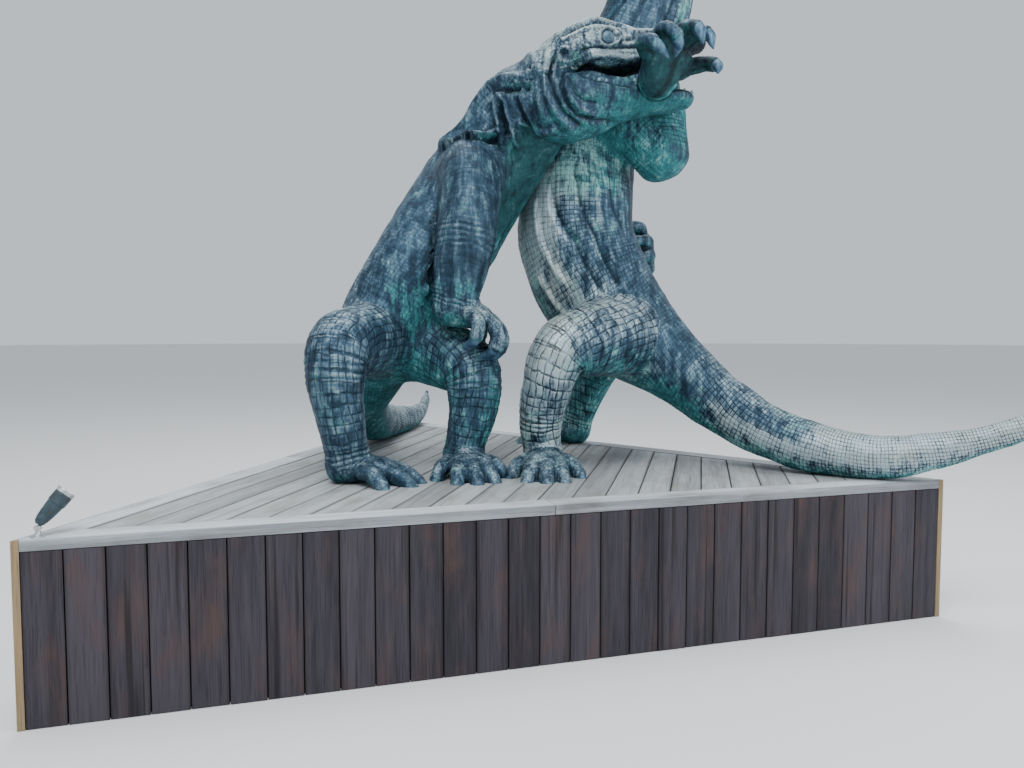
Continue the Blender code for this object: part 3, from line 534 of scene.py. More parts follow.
def quad_mesh(name, points, quads, fans=()):
    """A smooth-shaded mesh of four-sided faces, and some three-sided ones, from arrays."""
    mesh = bpy.data.meshes.new(name)
    mesh.vertices.add(len(points))
    mesh.vertices.foreach_set("co", np.asarray(points, np.float32).ravel())
    corners = np.concatenate([quads.ravel(), np.array(fans, int).ravel()]).astype(np.int32)
    starts = np.concatenate([np.arange(len(quads)) * 4, len(quads) * 4 + np.arange(len(fans)) * 3])
    mesh.loops.add(len(corners))
    mesh.loops.foreach_set("vertex_index", corners)
    mesh.polygons.add(len(starts))
    mesh.polygons.foreach_set("loop_start", starts.astype(np.int32))
    mesh.update(calc_edges=True)
    mesh.shade_smooth()
    return mesh


def halved(points, quads):
    """Each quad parted into four at the middles of its sides."""
    ends = np.sort(np.stack([quads, np.roll(quads, -1, axis=1)], axis=2).reshape(-1, 2), axis=1)
    keys = ends[:, 0].astype(np.int64) * len(points) + ends[:, 1]
    _, first, edge = np.unique(keys, return_index=True, return_inverse=True)
    pairs = ends[first]
    edge = edge.reshape(-1, 4)
    count = len(points)
    middle = count + len(first) + np.arange(len(quads))
    points = np.concatenate([points, points[pairs].mean(axis=1), points[quads].mean(axis=1)])
    parts = [np.stack([quads[:, k], count + edge[:, k], middle, count + edge[:, k - 1]], axis=1)
             for k in range(4)]
    return points, np.concatenate(parts)


def edges_of(mesh):
    flat = np.empty(len(mesh.edges) * 2, np.int32)
    mesh.edges.foreach_get("vertices", flat)
    return flat.reshape(-1, 2)


def relaxed(points, edges, share):
    """Points moved some of the way to the mean of their neighbours."""
    total = np.zeros_like(points)
    count = np.zeros(len(points))
    for a, b in ((0, 1), (1, 0)):
        for axis in range(3):
            total[:, axis] += np.bincount(edges[:, a], points[edges[:, b], axis], len(points))
        count += np.bincount(edges[:, a], minlength=len(points))
    return points + share * (total / np.maximum(count, 1)[:, None] - points)


def settle_on(dragon, points, rounds, picks):
    """Moves points onto the dragon's skin."""
    for _ in range(rounds):
        depth, out = dragon.field(points, picks)
        points = points - out * np.clip(depth, -0.03, 0.03)[:, None]
    return points


def keep_clear(other, points):
    """Presses points out of the other dragon's body where the two touch."""
    touching = np.flatnonzero(np.any([np.isin(np.arange(len(points)), pick) for pick in
                                      other.reached(points)], axis=0))
    picks = other.reached(points[touching])
    for _ in range(3):
        depth, out = other.field(points[touching], picks)
        points[touching] += out * np.clip(CONTACT_GAP - depth, 0, 0.05)[:, None]
    return points


def cast_shape(dragon, other):
    """The dragon's bare form as one even mesh of small quads."""
    points, faces = [], []
    for sweep in dragon.sweeps:
        sweep.loft(points, faces)
    rough = shown("rough", mesh_from(points, faces))
    remesh = rough.modifiers.new("even", "REMESH")
    remesh.mode = "VOXEL"
    remesh.voxel_size = CAST_VOXEL
    mesh = settled(rough)
    points, quads, edges = points_of(mesh), quads_of(mesh), edges_of(mesh)
    bpy.data.meshes.remove(mesh)
    picks = dragon.reached(points)
    for _ in range(3):
        points = settle_on(dragon, points, 2, picks)
        points = relaxed(points, edges, 0.5)
    points, quads = halved(points, quads)
    mesh = quad_mesh(dragon.side, points, quads)
    points = relaxed(points, edges_of(mesh), 0.5)
    points = settle_on(dragon, points, 2, dragon.reached(points))
    if other is not None:
        points = keep_clear(other, points)
    put_points(mesh, points)
    return mesh


def hashed(cells, seed):
    """A number from 0 to 1 for each whole-number cell."""
    mix = np.full(len(cells), seed * 2654435761 & 0xFFFFFFFF, np.uint64)
    for axis, factor in enumerate((374761393, 668265263, 3266489917)[:cells.shape[1]]):
        mix = (mix + (cells[:, axis].astype(np.int64) & 0xFFFFFFFF).astype(np.uint64) * factor) & 0xFFFFFFFF
        mix = ((mix ^ (mix >> 13)) * 1274126177) & 0xFFFFFFFF
    return ((mix ^ (mix >> 16)) & 0xFFFFFF) / float(0xFFFFFF)


def lumps(points, size, seed):
    """Soft noise from -1 to 1, with lumps about `size` across."""
    base = np.floor(points / size)
    t = points / size - base
    t = t * t * (3 - 2 * t)
    total = np.zeros(len(points))
    for corner in np.ndindex(2, 2, 2):
        weight = np.prod(np.where(corner, t, 1 - t), axis=1)
        total += weight * hashed(base + corner, seed)
    return 2 * total - 1


def pebbles(points, size, seed):
    """Height of small rounded scales packed together: 1 on a scale's middle, 0 in the joints."""
    base = np.floor(points / size)
    first = np.full(len(points), 9.0)
    second = np.full(len(points), 9.0)
    for corner in np.ndindex(3, 3, 3):
        cell = base + corner - 1
        jitter = np.stack([hashed(cell, seed + k) for k in range(3)], axis=1)
        gap = (((cell + 0.15 + 0.7 * jitter) * size - points) ** 2).sum(1) ** 0.5 / size
        second = np.minimum(second, np.maximum(first, gap))
        first = np.minimum(first, gap)
    return smooth(0.0, 0.35, second - first)


def near_line(u, v, line):
    """Distance from each (u, v) to a line of points, and how far along it the nearest place is."""
    line = np.asarray(line, float)
    lengths = np.linalg.norm(np.diff(line, axis=0), axis=1)
    starts = np.concatenate([[0], np.cumsum(lengths)])
    best = np.full(len(u), 1e9)
    share = np.zeros(len(u))
    for (a, b), length, start in zip(zip(line, line[1:]), lengths, starts):
        t = np.clip(((u - a[0]) * (b[0] - a[0]) + (v - a[1]) * (b[1] - a[1])) / length ** 2, 0, 1)
        gap = np.hypot(u - a[0] - t * (b[0] - a[0]), v - a[1] - t * (b[1] - a[1]))
        closer = gap < best
        best[closer] = gap[closer]
        share[closer] = ((start + t * length) / starts[-1])[closer]
    return best, share


def ridge(u, v, line, width, height):
    """A soft ridge, or a groove where the height is negative, that thins out at both ends."""
    gap, share = near_line(u, v, line)
    fade = smooth(0, 0.12, share + 0.04) * smooth(0, 0.12, 1.04 - share)
    return height * fade * np.exp(-(gap / width) ** 2)


# Folds on a head: (points as (head lengths forward, metres up), width, height)
HEAD_FOLDS = [
    ([(0.06, 0.12), (0.20, 0.168), (0.32, 0.190), (0.41, 0.176), (0.50, 0.138), (0.57, 0.098),
      (0.69, 0.082), (0.86, 0.066)], 0.013, 0.026),
    ([(0.10, 0.100), (0.22, 0.136), (0.32, 0.152), (0.42, 0.142), (0.50, 0.108)], 0.012, 0.014),
    ([(0.12, 0.118), (0.24, 0.154), (0.33, 0.172), (0.42, 0.159)], 0.008, -0.013),
    ([(0.49, 0.066), (0.65, 0.058), (0.82, 0.046)], 0.016, -0.020),
    ([(0.166, -0.030), (0.22, 0.002), (0.29, 0.010), (0.40, -0.006), (0.50, -0.028), (0.90, -0.012)],
     0.012, 0.021),
    ([(0.20, 0.030), (0.30, 0.042), (0.42, 0.028), (0.60, 0.008)], 0.010, -0.016),
    ([(0.17, -0.015), (0.145, -0.06), (0.15, -0.14)], 0.016, 0.020),
    ([(0.335, 0.070), (0.352, 0.114), (0.392, 0.132), (0.436, 0.118), (0.470, 0.082)], 0.010, 0.024),
    ([(0.335, 0.066), (0.362, 0.046), (0.400, 0.038), (0.446, 0.052), (0.475, 0.076)], 0.009, 0.018),
    ([(0.250, 0.118), (0.262, 0.078), (0.290, 0.052)], 0.012, -0.010),
]
# Folds on a lower jaw and throat, in the jaw's own place
JAW_FOLDS = [
    ([(0.22, -0.026), (0.40, -0.046), (0.60, -0.044), (0.86, -0.036)], 0.014, 0.017),
    ([(0.24, -0.070), (0.45, -0.080), (0.70, -0.070)], 0.010, -0.014),
    ([(0.02, 0.01), (0.01, -0.10), (0.05, -0.21), (0.13, -0.30), (0.26, -0.36)], 0.017, 0.028),
    ([(0.055, 0.00), (0.045, -0.10), (0.09, -0.20), (0.17, -0.285), (0.30, -0.335)], 0.012, -0.020),
    ([(0.13, -0.06), (0.12, -0.15), (0.17, -0.23), (0.25, -0.285), (0.37, -0.29), (0.48, -0.26)],
     0.011, -0.020),
    ([(0.15, -0.08), (0.15, -0.15), (0.20, -0.215), (0.27, -0.255), (0.37, -0.265)], 0.018, 0.016),
    ([(0.18, -0.10), (0.21, -0.175), (0.28, -0.205), (0.36, -0.200)], 0.012, -0.012),
    ([(-0.04, -0.05), (-0.02, -0.17), (0.03, -0.27), (0.10, -0.35)], 0.020, 0.018),
]
# Folds on necks and trunks: (points as (station, degrees round from the back to the left), width, height)
LEFT_BODY_FOLDS = [
    ([(10.2, -46), (11.2, -44), (12.0, -40), (12.5, -58), (13.0, -76)], 0.030, 0.044),
    ([(11.6, -62), (12.1, -62), (12.5, -76), (12.9, -92)], 0.022, -0.034),
    ([(12.14, -62), (12.04, -83), (11.82, -101), (11.30, -122)], 0.020, 0.041),
    ([(12.10, -60), (11.80, -78), (11.55, -94), (11.10, -104)], 0.018, 0.037),
    ([(12.02, -76), (11.78, -90), (11.50, -106)], 0.020, -0.034),
    ([(12.70, -78), (12.50, -104), (12.30, -128), (12.2, -148)], 0.018, 0.031),
    ([(12.45, -84), (12.25, -108), (12.05, -132)], 0.014, -0.024),
    ([(11.90, -108), (12.10, -128), (12.45, -140), (12.9, -146)], 0.018, 0.031),
    ([(10.30, -52), (10.80, -66), (11.20, -82), (11.59, -97)], 0.022, 0.044),
    ([(10.55, -66), (10.90, -80), (11.25, -96)], 0.018, -0.031),
    ([(9.6, -96), (8.71, -113), (8.1, -138), (7.55, -152)], 0.022, 0.058),
    ([(9.5, -112), (8.7, -128), (8.1, -150)], 0.030, -0.037),
    ([(12.14, 62), (12.04, 83), (11.82, 101), (11.30, 122)], 0.020, 0.037),
    ([(12.70, 78), (12.50, 104), (12.30, 128)], 0.018, 0.031),
    ([(10.30, 52), (10.80, 66), (11.20, 82), (11.59, 97)], 0.022, 0.037),
]
RIGHT_BODY_FOLDS = [
    ([(14.3, 26), (15.5, 22), (16.8, 24), (18.0, 30), (18.8, 44)], 0.020, 0.013),
    ([(14.6, 46), (15.8, 44), (17.0, 42), (18.2, 52)], 0.018, 0.011),
    ([(14.8, 60), (15.9, 62), (17.1, 58), (18.0, 66)], 0.014, -0.011),
    ([(14.6, 78), (15.8, 80), (17.0, 76), (18.3, 84)], 0.022, 0.013),
    ([(15.0, 100), (16.2, 104), (17.4, 98)], 0.016, -0.012),
    ([(14.8, 122), (16.0, 126), (17.2, 120), (18.4, 118)], 0.022, 0.013),
    ([(16.6, 30), (16.2, 48), (15.9, 66), (15.7, 90)], 0.014, -0.014),
    ([(14.3, -26), (15.5, -22), (16.8, -24), (18.0, -30), (18.8, -44)], 0.020, 0.013),
    ([(14.6, -50), (15.8, -46), (17.0, -44), (18.2, -52)], 0.018, 0.011),
    ([(14.6, -80), (15.8, -82), (17.0, -76), (18.3, -84)], 0.022, 0.013),
    ([(14.8, -120), (16.0, -124), (17.2, -118)], 0.022, 0.013),
    ([(13.2, 96), (13.9, 104), (14.5, 126)], 0.022, 0.031),
    ([(9.2, 118), (9.8, 128), (10.6, 132)], 0.020, 0.027),
    ([(12.0, 104), (11.6, 101), (10.8, 85), (9.8, 83)], 0.022, -0.020),
    ([(12.4, 84), (11.5, 72), (10.8, 64), (9.7, 65)], 0.020, -0.020),
    ([(12.2, 62), (11.3, 56), (10.5, 55), (9.8, 62)], 0.024, 0.016),
    ([(12.2, 44), (11.2, 32), (10.3, 24), (9.3, 36), (8.8, 50)], 0.022, -0.018),
    ([(11.8, 122), (11.0, 118), (10.2, 110)], 0.022, 0.015),
    ([(12.2, -60), (11.2, -52), (10.0, -60), (9.2, -74)], 0.022, -0.018),
    ([(12.0, -96), (11.0, -84), (9.9, -86)], 0.022, 0.016),
]
# Creases across a limb: (sweep, station, how many, spacing)
LIMB_CREASES = [("arm_right", 3.0, 5, 0.030), ("arm_right", 4.8, 4, 0.024), ("arm_left", 2.4, 5, 0.030),
                ("arm_left", 4.7, 4, 0.024), ("leg_right", 2.6, 5, 0.034), ("leg_right", 4.7, 4, 0.026),
                ("leg_left", 2.4, 5, 0.034), ("leg_left", 5.0, 4, 0.026), ("raised_forearm", 0.6, 5, 0.028),
                ("raised_upper_arm", 2.4, 4, 0.028), ("raised_forearm", 3.6, 4, 0.020)]
GRID_SIZES = {"spine": 0.027, "leg": 0.041, "arm": 0.025, "raised": 0.027}  # a scale's side
DETAIL = {"grid": 0.0042, "pebble": 0.0020}  # heights of body scales and of those on head and feet


class Skin:
    """A dragon's cast mesh with all that the sculptor put on it, and what its materials need to know."""

    def __init__(self, dragon, other, gives_way):
        self.dragon = dragon
        self.mesh = cast_shape(dragon, other if gives_way else None)
        self.points = points_of(self.mesh)
        self.quads = quads_of(self.mesh)
        self.edges = edges_of(self.mesh)
        self.read_places()
        self.bare = self.points.copy()
        room = self.room(other)
        self.lift(self.folds() * room)
        self.lift(self.scales() * room)
        self.points[:, 2] = np.maximum(self.points[:, 2], SOLE_LEVEL)
        put_points(self.mesh, self.points)
        self.read_wear()
        self.read_patina_and_painted_light()

    def normals(self):
        flat = np.empty(len(self.points) * 3, np.float32)
        self.mesh.vertex_normals.foreach_get("vector", flat)
        return flat.reshape(-1, 3).astype(float)

    def lift(self, heights):
        self.points = self.points + self.normals() * heights[:, None]
        put_points(self.mesh, self.points)

    def room(self, other):
        """How much relief each point has room for: none where the two dragons touch."""
        free = np.ones(len(self.points))
        near = np.unique(np.concatenate(other.reached(self.points)))
        depth, _ = other.field(self.points[near], other.reached(self.points[near]))
        free[near] = smooth(CONTACT_GAP, RELIEF_REACH, depth)
        return free

    def read_places(self):
        """Finds whose sweep each point lies on, where along and round it, and how far the next sweep is."""
        count = len(self.points)
        nearest, second = np.full(count, 9.0), np.full(count, 9.0)
        self.owner = np.zeros(count, int)
        self.along, self.angle, self.girth, self.station = (np.zeros(count) for _ in range(4))
        for k, (sweep, pick) in enumerate(zip(self.dragon.sweeps, self.dragon.reached(self.points))):
            if len(pick) == 0:
                continue
            depth, _, along, angle, girth, station = sweep.measure(self.points[pick])
            won = depth < nearest[pick]
            second[pick] = np.where(won, nearest[pick], np.minimum(second[pick], depth))
            gained = pick[won]
            nearest[gained] = depth[won]
            self.owner[gained] = k
            self.along[gained], self.angle[gained] = along[won], angle[won]
            self.girth[gained], self.station[gained] = girth[won], station[won]
        self.own = smooth(0.004, 0.030, second - nearest)
        self.names = [sweep.name for sweep in self.dragon.sweeps]

    def on(self, prefix):
        """True where the owner's name starts with the prefix."""
        return np.array([name.startswith(prefix) for name in self.names])[self.owner]

    def in_head(self, jaw=False):
        place = (self.dragon.head @ self.dragon.drop if jaw else self.dragon.head).inverted()
        turn = np.array(place)
        return self.bare @ turn[:3, :3].T + turn[:3, 3]

    def folds(self):
        heights = np.zeros(len(self.points))
        for name, table, jaw in (("skull", HEAD_FOLDS, False), ("jaw", JAW_FOLDS, True)):
            pick = np.flatnonzero(self.on("skull") | self.on("jaw") | (self.on("spine") & (self.station > 12)))
            local = self.in_head(jaw)[pick]
            side = smooth(0.03, 0.07, np.abs(local[:, 1]))
            if name == "skull":
                side = side * smooth(-0.06, -0.02, local[:, 2] + 0.08 * self.on("skull")[pick])
            for line, width, height in table:
                line = [(x * HEAD_LENGTH, z) for x, z in line]
                heights[pick] += side * ridge(local[:, 0], local[:, 2], line, width, height)
        heights += self.eye_sockets() + self.body_folds() + self.limb_creases()
        soft = 0.007 * lumps(self.bare, 0.16, 3) + 0.004 * lumps(self.bare, 0.07, 4)
        return heights + soft * ~self.on("foot")

    def eye_sockets(self):
        local = self.in_head()
        heights = np.zeros(len(self.points))
        for x, z, radius, width, height in (
                (EYE_PLACE[0], EYE_PLACE[2], 0.0, 0.034, -0.022),
                (0.80 * HEAD_LENGTH, 0.060, 0.0, 0.014, -0.020),
                (0.12 * HEAD_LENGTH, 0.035, 0.0, 0.022, -0.020),
                (0.12 * HEAD_LENGTH, 0.035, 0.032, 0.010, 0.007)):
            gap = np.hypot(local[:, 0] - x, local[:, 2] - z) - radius
            heights += height * np.exp(-(gap / width) ** 2) * (np.abs(local[:, 1]) > 0.04)
        return heights * self.on("skull")

    def body_folds(self):
        heights = np.zeros(len(self.points))
        spine = self.dragon.sweeps[0]
        pick = np.flatnonzero(self.on("spine") | self.on("jaw"))
        _, _, along, angle, *_ = spine.measure(self.bare[pick])
        table = LEFT_BODY_FOLDS if self.dragon.side == "left" else RIGHT_BODY_FOLDS
        for line, width, height in table:
            middle = np.mean([station for station, _ in line])
            around = np.interp(middle, spine.table[:, 15], spine.table[:, 12:15].mean(axis=1))
            places = [(spine.along(station), math.radians(turn) * around) for station, turn in line]
            heights[pick] += ridge(along, angle * around, places, width, height)
        return heights

    def limb_creases(self):
        heights = np.zeros(len(self.points))
        warp = 0.012 * lumps(self.bare, 0.09, 8)
        for name, station, count, spacing in LIMB_CREASES:
            if name not in self.names:
                continue
            sweep = self.dragon.sweeps[self.names.index(name)]
            pick = np.flatnonzero(self.on(name))
            offset = self.along[pick] - sweep.along(station) + warp[pick]
            fade = np.exp(-(offset / (0.5 * count * spacing)) ** 2)
            wave = 0.5 + 0.5 * np.cos(2 * math.pi * offset / spacing)
            heights[pick] += 0.006 * fade * (wave ** 0.6 - 0.6)
        return heights

    def scales(self):
        """Rows of scales along body and limbs, small round ones on heads, hands and feet."""
        self.across = np.zeros(len(self.points))
        self.down = np.zeros(len(self.points))
        self.grid = np.zeros(len(self.points))
        wobble = [0.32 * lumps(self.bare, 0.13, seed) + 0.16 * lumps(self.bare, 0.045, seed + 50)
                  for seed in (11, 12)]
        for prefix, pitch in GRID_SIZES.items():
            pick = self.on(prefix)
            size, rows = pitch, self.along[pick] / pitch * (0.80 if prefix == "leg" else 1.15)
            if prefix == "spine":
                gain = 0.36 if self.dragon.side == "right" else 0.10
                stations = np.linspace(0, self.dragon.sweeps[0].table[-1, 15], 200)
                sizes = pitch * (0.72 + gain * smooth(3.5, 7, stations))
                places = self.dragon.sweeps[0].along(stations)
                counts = np.concatenate([[0], np.cumsum(np.diff(places) / sizes[1:])])
                size = np.interp(self.station[pick], stations, sizes)
                rows = 1.15 * np.interp(self.along[pick], places, counts)
            self.across[pick] = self.angle[pick] * self.girth[pick] / size + wobble[0][pick]
            self.down[pick] = rows + wobble[1][pick]
            self.grid[pick] = self.own[pick]
        crisp = np.where(self.on("leg"), 1.0, np.where(self.on("spine"), 0.50, 0.55))
        crisp += 0.35 * smooth(8.2, 6.5, self.station) * self.on("spine")
        if self.dragon.side == "left":
            crisp -= 0.15
        self.crisp = np.clip(crisp + 0.30 * lumps(self.bare, 0.25, 13), 0.12, 1)
        neck = 12.2 if self.dragon.side == "left" else 17.0
        self.grid *= 1 - smooth(neck - 0.8, neck + 0.3, self.station) * self.on("spine")
        x, y = self.across - np.floor(self.across), self.down - np.floor(self.down)
        dome = (1 - np.abs(2 * x - 1) ** 5) * (1 - np.abs(2 * y - 1) ** 5)
        cells = np.stack([np.floor(self.across), np.floor(self.down)], axis=1)
        rise = (DETAIL["grid"] * (0.5 + 0.5 * hashed(cells, 21)) * (dome - 0.5) * self.grid
                * (0.4 + 0.6 * self.crisp))
        rest = np.flatnonzero(self.grid < 0.98)
        small = np.zeros(len(self.points))
        small[rest] = pebbles(self.bare[rest], 0.020, 31) - 0.5
        return rise + DETAIL["pebble"] * small * (1 - self.grid)

    def read_wear(self):
        """Hollows and crests at two widths: the fine ones for grime and wear, the wide ones for painted shade
        in deep folds.
        """
        normals = self.normals()
        bulge = ((self.points - relaxed(self.points, self.edges, 1.0)) * normals).sum(1)
        self.fine_crest = np.clip(bulge / 0.0012, -1, 1)
        wide = self.points
        for _ in range(10):
            wide = relaxed(wide, self.edges, 0.8)
        self.wide_crest = np.clip(((self.points - wide) * normals).sum(1) / 0.006, -1, 1)

    def read_patina_and_painted_light(self):
        """How green, how pale and how dark the bronze is: patina from where rain runs and where hands keep
        rubbing it, painted sky light on faces turned up, and painted shade in the mouth, round the eyes, in
        deep folds and on shaded parts.
        """
        normals = self.normals()
        drift = lumps(self.bare, 0.40, 41) + 0.6 * lumps(self.bare, 0.15, 42)
        turn = np.degrees(self.angle)
        green = 0.60 * smooth(0.20, -0.85, normals[:, 2] + 0.10 * drift)
        green += 0.45 * smooth(105, 150, np.abs(turn) + 14 * drift) * self.on("spine")
        # painted sky light mixed with dust: faces turned up are paler
        pale = 0.25 * smooth(0.3, 0.9, normals[:, 2])
        for prefix, (first, last), (low, high), more_green, pale_and_shade in PATINA_AND_SHADE[self.dragon.side]:
            station = self.station + 0.35 * drift
            inside = smooth(first - 0.5, first + 0.3, station) * smooth(last + 0.5, last - 0.3, station)
            if high - low < 360:
                middle = 0.5 * (low + high)
                off = np.abs((turn + 9 * drift - middle + 180) % 360 - 180)
                inside = inside * smooth(0.5 * (high - low) + 18, 0.5 * (high - low) - 6, off)
            inside = inside * self.on(prefix)
            green += more_green * inside
            pale += pale_and_shade * inside
        self.green = np.clip(green + 0.24 * drift, 0, 1)
        # painted shade: a negative pale from the table darkens the bronze
        shade = np.clip(-pale, 0, 1)
        # painted shade: the pale bloom fades on faces turned down
        pale *= 0.45 + 0.55 * smooth(-0.60, 0.20, normals[:, 2])
        self.pale = np.clip(pale + 0.14 * lumps(self.bare, 0.22, 43), 0, 1)
        local = self.in_head()
        turned = normals @ np.array(self.dragon.head)[:3, :3]
        # painted shade inside the open mouth: the palate and the jaw's floor within the tooth rows go dark
        mouth = (local[:, 0] > 0.19 * HEAD_LENGTH) * smooth(0.125, 0.095, np.abs(local[:, 1]))
        # painted shade in the crease round each eye
        lids = np.hypot(local[:, 0] - EYE_PLACE[0], local[:, 2] - EYE_PLACE[2]) - 0.037
        lids = 0.75 * np.exp(-(lids / 0.008) ** 2) * self.on("skull")
        roof = self.on("skull") * smooth(-0.15, -0.6, turned[:, 2])
        floor = self.on("jaw") * smooth(0.2, 0.6, turned[:, 2]) * (local[:, 2] < 0.03)
        # painted shade in wide hollows and deep folds, joined with the other painted shade
        shade = np.maximum(np.maximum(smooth(-0.15, -0.9, self.wide_crest) * 0.85, shade), lids)
        self.dark = np.clip(mouth * (roof + floor) + shade, 0, 1)


# Where the bronze is greener or paler: (sweep, stations, degrees round from the back to the left,
# green, pale); a negative pale is painted shade, as on the left dragon's belly and the right dragon's palms
ALL_ROUND = (-180, 180)
PATINA_AND_SHADE = {
    "left": [
        ("skull", (0, 9), ALL_ROUND, -0.20, 0.62), ("jaw", (0, 9), ALL_ROUND, 0.15, -0.22),
        ("jaw", (-1, 0.8), ALL_ROUND, -0.35, 0.05), ("jaw", (0.9, 3), (-170, -118), 0.0, 0.34),
        ("spine", (9.2, 12.4), (-180, -112), 0.25, -0.75), ("spine", (11.8, 14), (-112, -40), -0.30, 0.05),
        ("hand_right", (0, 9), ALL_ROUND, 0.10, 0.35), ("arm_right", (4.4, 5.2), ALL_ROUND, 0.10, 0.15),
        ("arm_right", (0, 5), (100, 170), 0.50, 0.05), ("arm_right", (0, 4.4), (-110, 90), -0.12, -0.34),
        ("leg_left", (0, 9), ALL_ROUND, 0.35, 0.0), ("leg_right", (0, 9), ALL_ROUND, 0.0, 0.15),
        ("spine", (6.6, 7.8), (-100, -40), 0.0, 0.15), ("spine", (8, 12), (-110, 20), 0.0, -0.08),
        ("spine", (0, 5.5), ALL_ROUND, 0.05, 0.40),
        ("arm_left", (3, 6), ALL_ROUND, 0.2, 0.2),
    ],
    "right": [
        ("spine", (11.9, 14.8), (10, 180), 0.85, 0.60), ("spine", (8.2, 12.2), (106, 178), -0.28, 1.1),
        ("spine", (9.2, 12.2), (66, 80), 0.15, 0.30), ("spine", (7.2, 12.2), (-10, 62), -0.05, -0.10),
        ("spine", (9.0, 11.8), (92, 102), 0.12, 0.30), ("raised", (0, 9), ALL_ROUND, 0.55, 0.03),
        ("hand_left", (0, 9), (75, 180), 0.40, -0.80), ("hand_left", (0, 9), (-180, -75), 0.40, -0.80),
        ("leg_right", (0, 9), ALL_ROUND, 0.60, 0.35),
        ("leg_left", (0, 3.4), (-80, 84), -0.05, 0.36), ("leg_left", (3.0, 6.5), ALL_ROUND, 0.10, 1.0),
        ("spine", (0, 5.2), (-100, 100), -0.10, 1.15), ("spine", (5.2, 8.0), (-40, 105), -0.05, 0.16),
        ("spine", (0, 6.8), (100, 180), -0.42, 1.15), ("spine", (0, 6.8), (-180, -100), -0.42, 1.15),
        ("spine", (0, 8), (152, 180), 0.50, -0.10), ("spine", (0, 8), (-180, -152), 0.50, -0.10),
        ("spine", (14.6, 20), (26, 44), 0.40, 0.50), ("spine", (14.9, 20), (50, 180), -0.30, -0.14),
        ("foot", (0, 9), ALL_ROUND, 0.2, 0.2),
    ],
}

SKIN_PARTS = {
    "head": lambda skin: skin.on("skull") | skin.on("jaw") | (skin.on("spine") & (skin.station > 11.6)),
    "tail": lambda skin: skin.on("spine") & (skin.station < 5.6),
    "arms": lambda skin: skin.on("arm") | skin.on("hand") | skin.on("raised"),
    "legs": lambda skin: skin.on("leg") | skin.on("foot"),
}
SKIN_NODES = {
    "head": ("neck", "head", "jaw"),
    "trunk": ("trunk",),
    "tail": ("tail_base", "tail_middle", "tail_tip"),
    "arms": ("upper_arm_left", "upper_arm_right", "forearm_left", "forearm_right", "hand_left", "hand_right"),
    "legs": ("thigh_left", "thigh_right", "shin_left", "shin_right", "foot_left", "foot_right"),
}


def capped(points, quads):
    """Fans that close the cut edges of some of a closed mesh's quads, inside the bronze."""
    ends = np.stack([quads, np.roll(quads, -1, axis=1)], axis=2).reshape(-1, 2).astype(np.int64)
    count = len(points)
    there, back = ends[:, 0] * count + ends[:, 1], ends[:, 1] * count + ends[:, 0]
    rim = ends[~np.isin(there, back)]
    loop_of = np.arange(count)
    while np.any(loop_of[rim[:, 0]] != loop_of[rim[:, 1]]):
        least = np.minimum(loop_of[rim[:, 0]], loop_of[rim[:, 1]])
        np.minimum.at(loop_of, rim[:, 0], least)
        np.minimum.at(loop_of, rim[:, 1], least)
    loops, hub = np.unique(loop_of[rim[:, 0]], return_inverse=True)
    middles = np.array([points[rim[loop_of[rim[:, 0]] == loop, 0]].mean(axis=0) for loop in loops])
    return middles.reshape(-1, 3), np.stack([rim[:, 1], rim[:, 0], count + hub], axis=1)


def cut_parts(skin):
    """Each part of the skin as a closed mesh that shades as one with its neighbours."""
    normals = skin.normals()
    chosen = np.full(len(skin.points), "trunk", dtype=object)
    for name, rule in SKIN_PARTS.items():
        chosen[rule(skin)] = name
    values = {
        "scale_place": np.stack([skin.across, skin.down, skin.grid], axis=1),
        # besides patina, the pale carries painted sky light and the dark carries painted shade
        "patina": np.stack([skin.green, skin.pale, skin.dark], axis=1),
        "relief": np.stack([skin.fine_crest, skin.wide_crest, skin.crisp], axis=1),
    }
    for name in SKIN_NODES:
        quads = skin.quads[chosen[skin.quads[:, 0]] == name]
        used, quads = np.unique(quads, return_inverse=True)
        quads = quads.reshape(-1, 4)
        points = skin.points[used]
        middles, fans = capped(points, quads)
        piece = f"{skin.dragon.side}_dragon_{name}"
        mesh = quad_mesh(piece, np.concatenate([points, middles]), quads, fans)
        spare = np.zeros((len(middles), 3))
        for label, rows in values.items():
            store = mesh.attributes.new(label, "FLOAT_VECTOR", "POINT")
            store.data.foreach_set("vector", np.concatenate([rows[used], spare]).astype(np.float32).ravel())
        own = np.empty(len(mesh.vertices) * 3, np.float32)
        mesh.vertex_normals.foreach_get("vector", own)
        own = own.reshape(-1, 3)
        own[:len(used)] = normals[used]
        mesh.normals_split_custom_set_from_vertices(own.tolist())
        yield name, piece, mesh


# ---- claws, teeth and eyes

def claw_meshes(dragon):
    points, faces = [], []
    for rows in dragon.claws:
        rows = rows.copy()
        rows[:, 6:9] *= np.array([0.94, 0.95, 0.90, 0.8])[:, None]
        rows[:, 6] *= 0.88
        Sweep("claw", rows, 0.008, 0.0, own_back=True).loft(points, faces, 14)
    mesh = mesh_from(points, faces)
    cut_by(mesh, [((0, 0, SOLE_LEVEL), (0, 0, -1))])
    return mesh


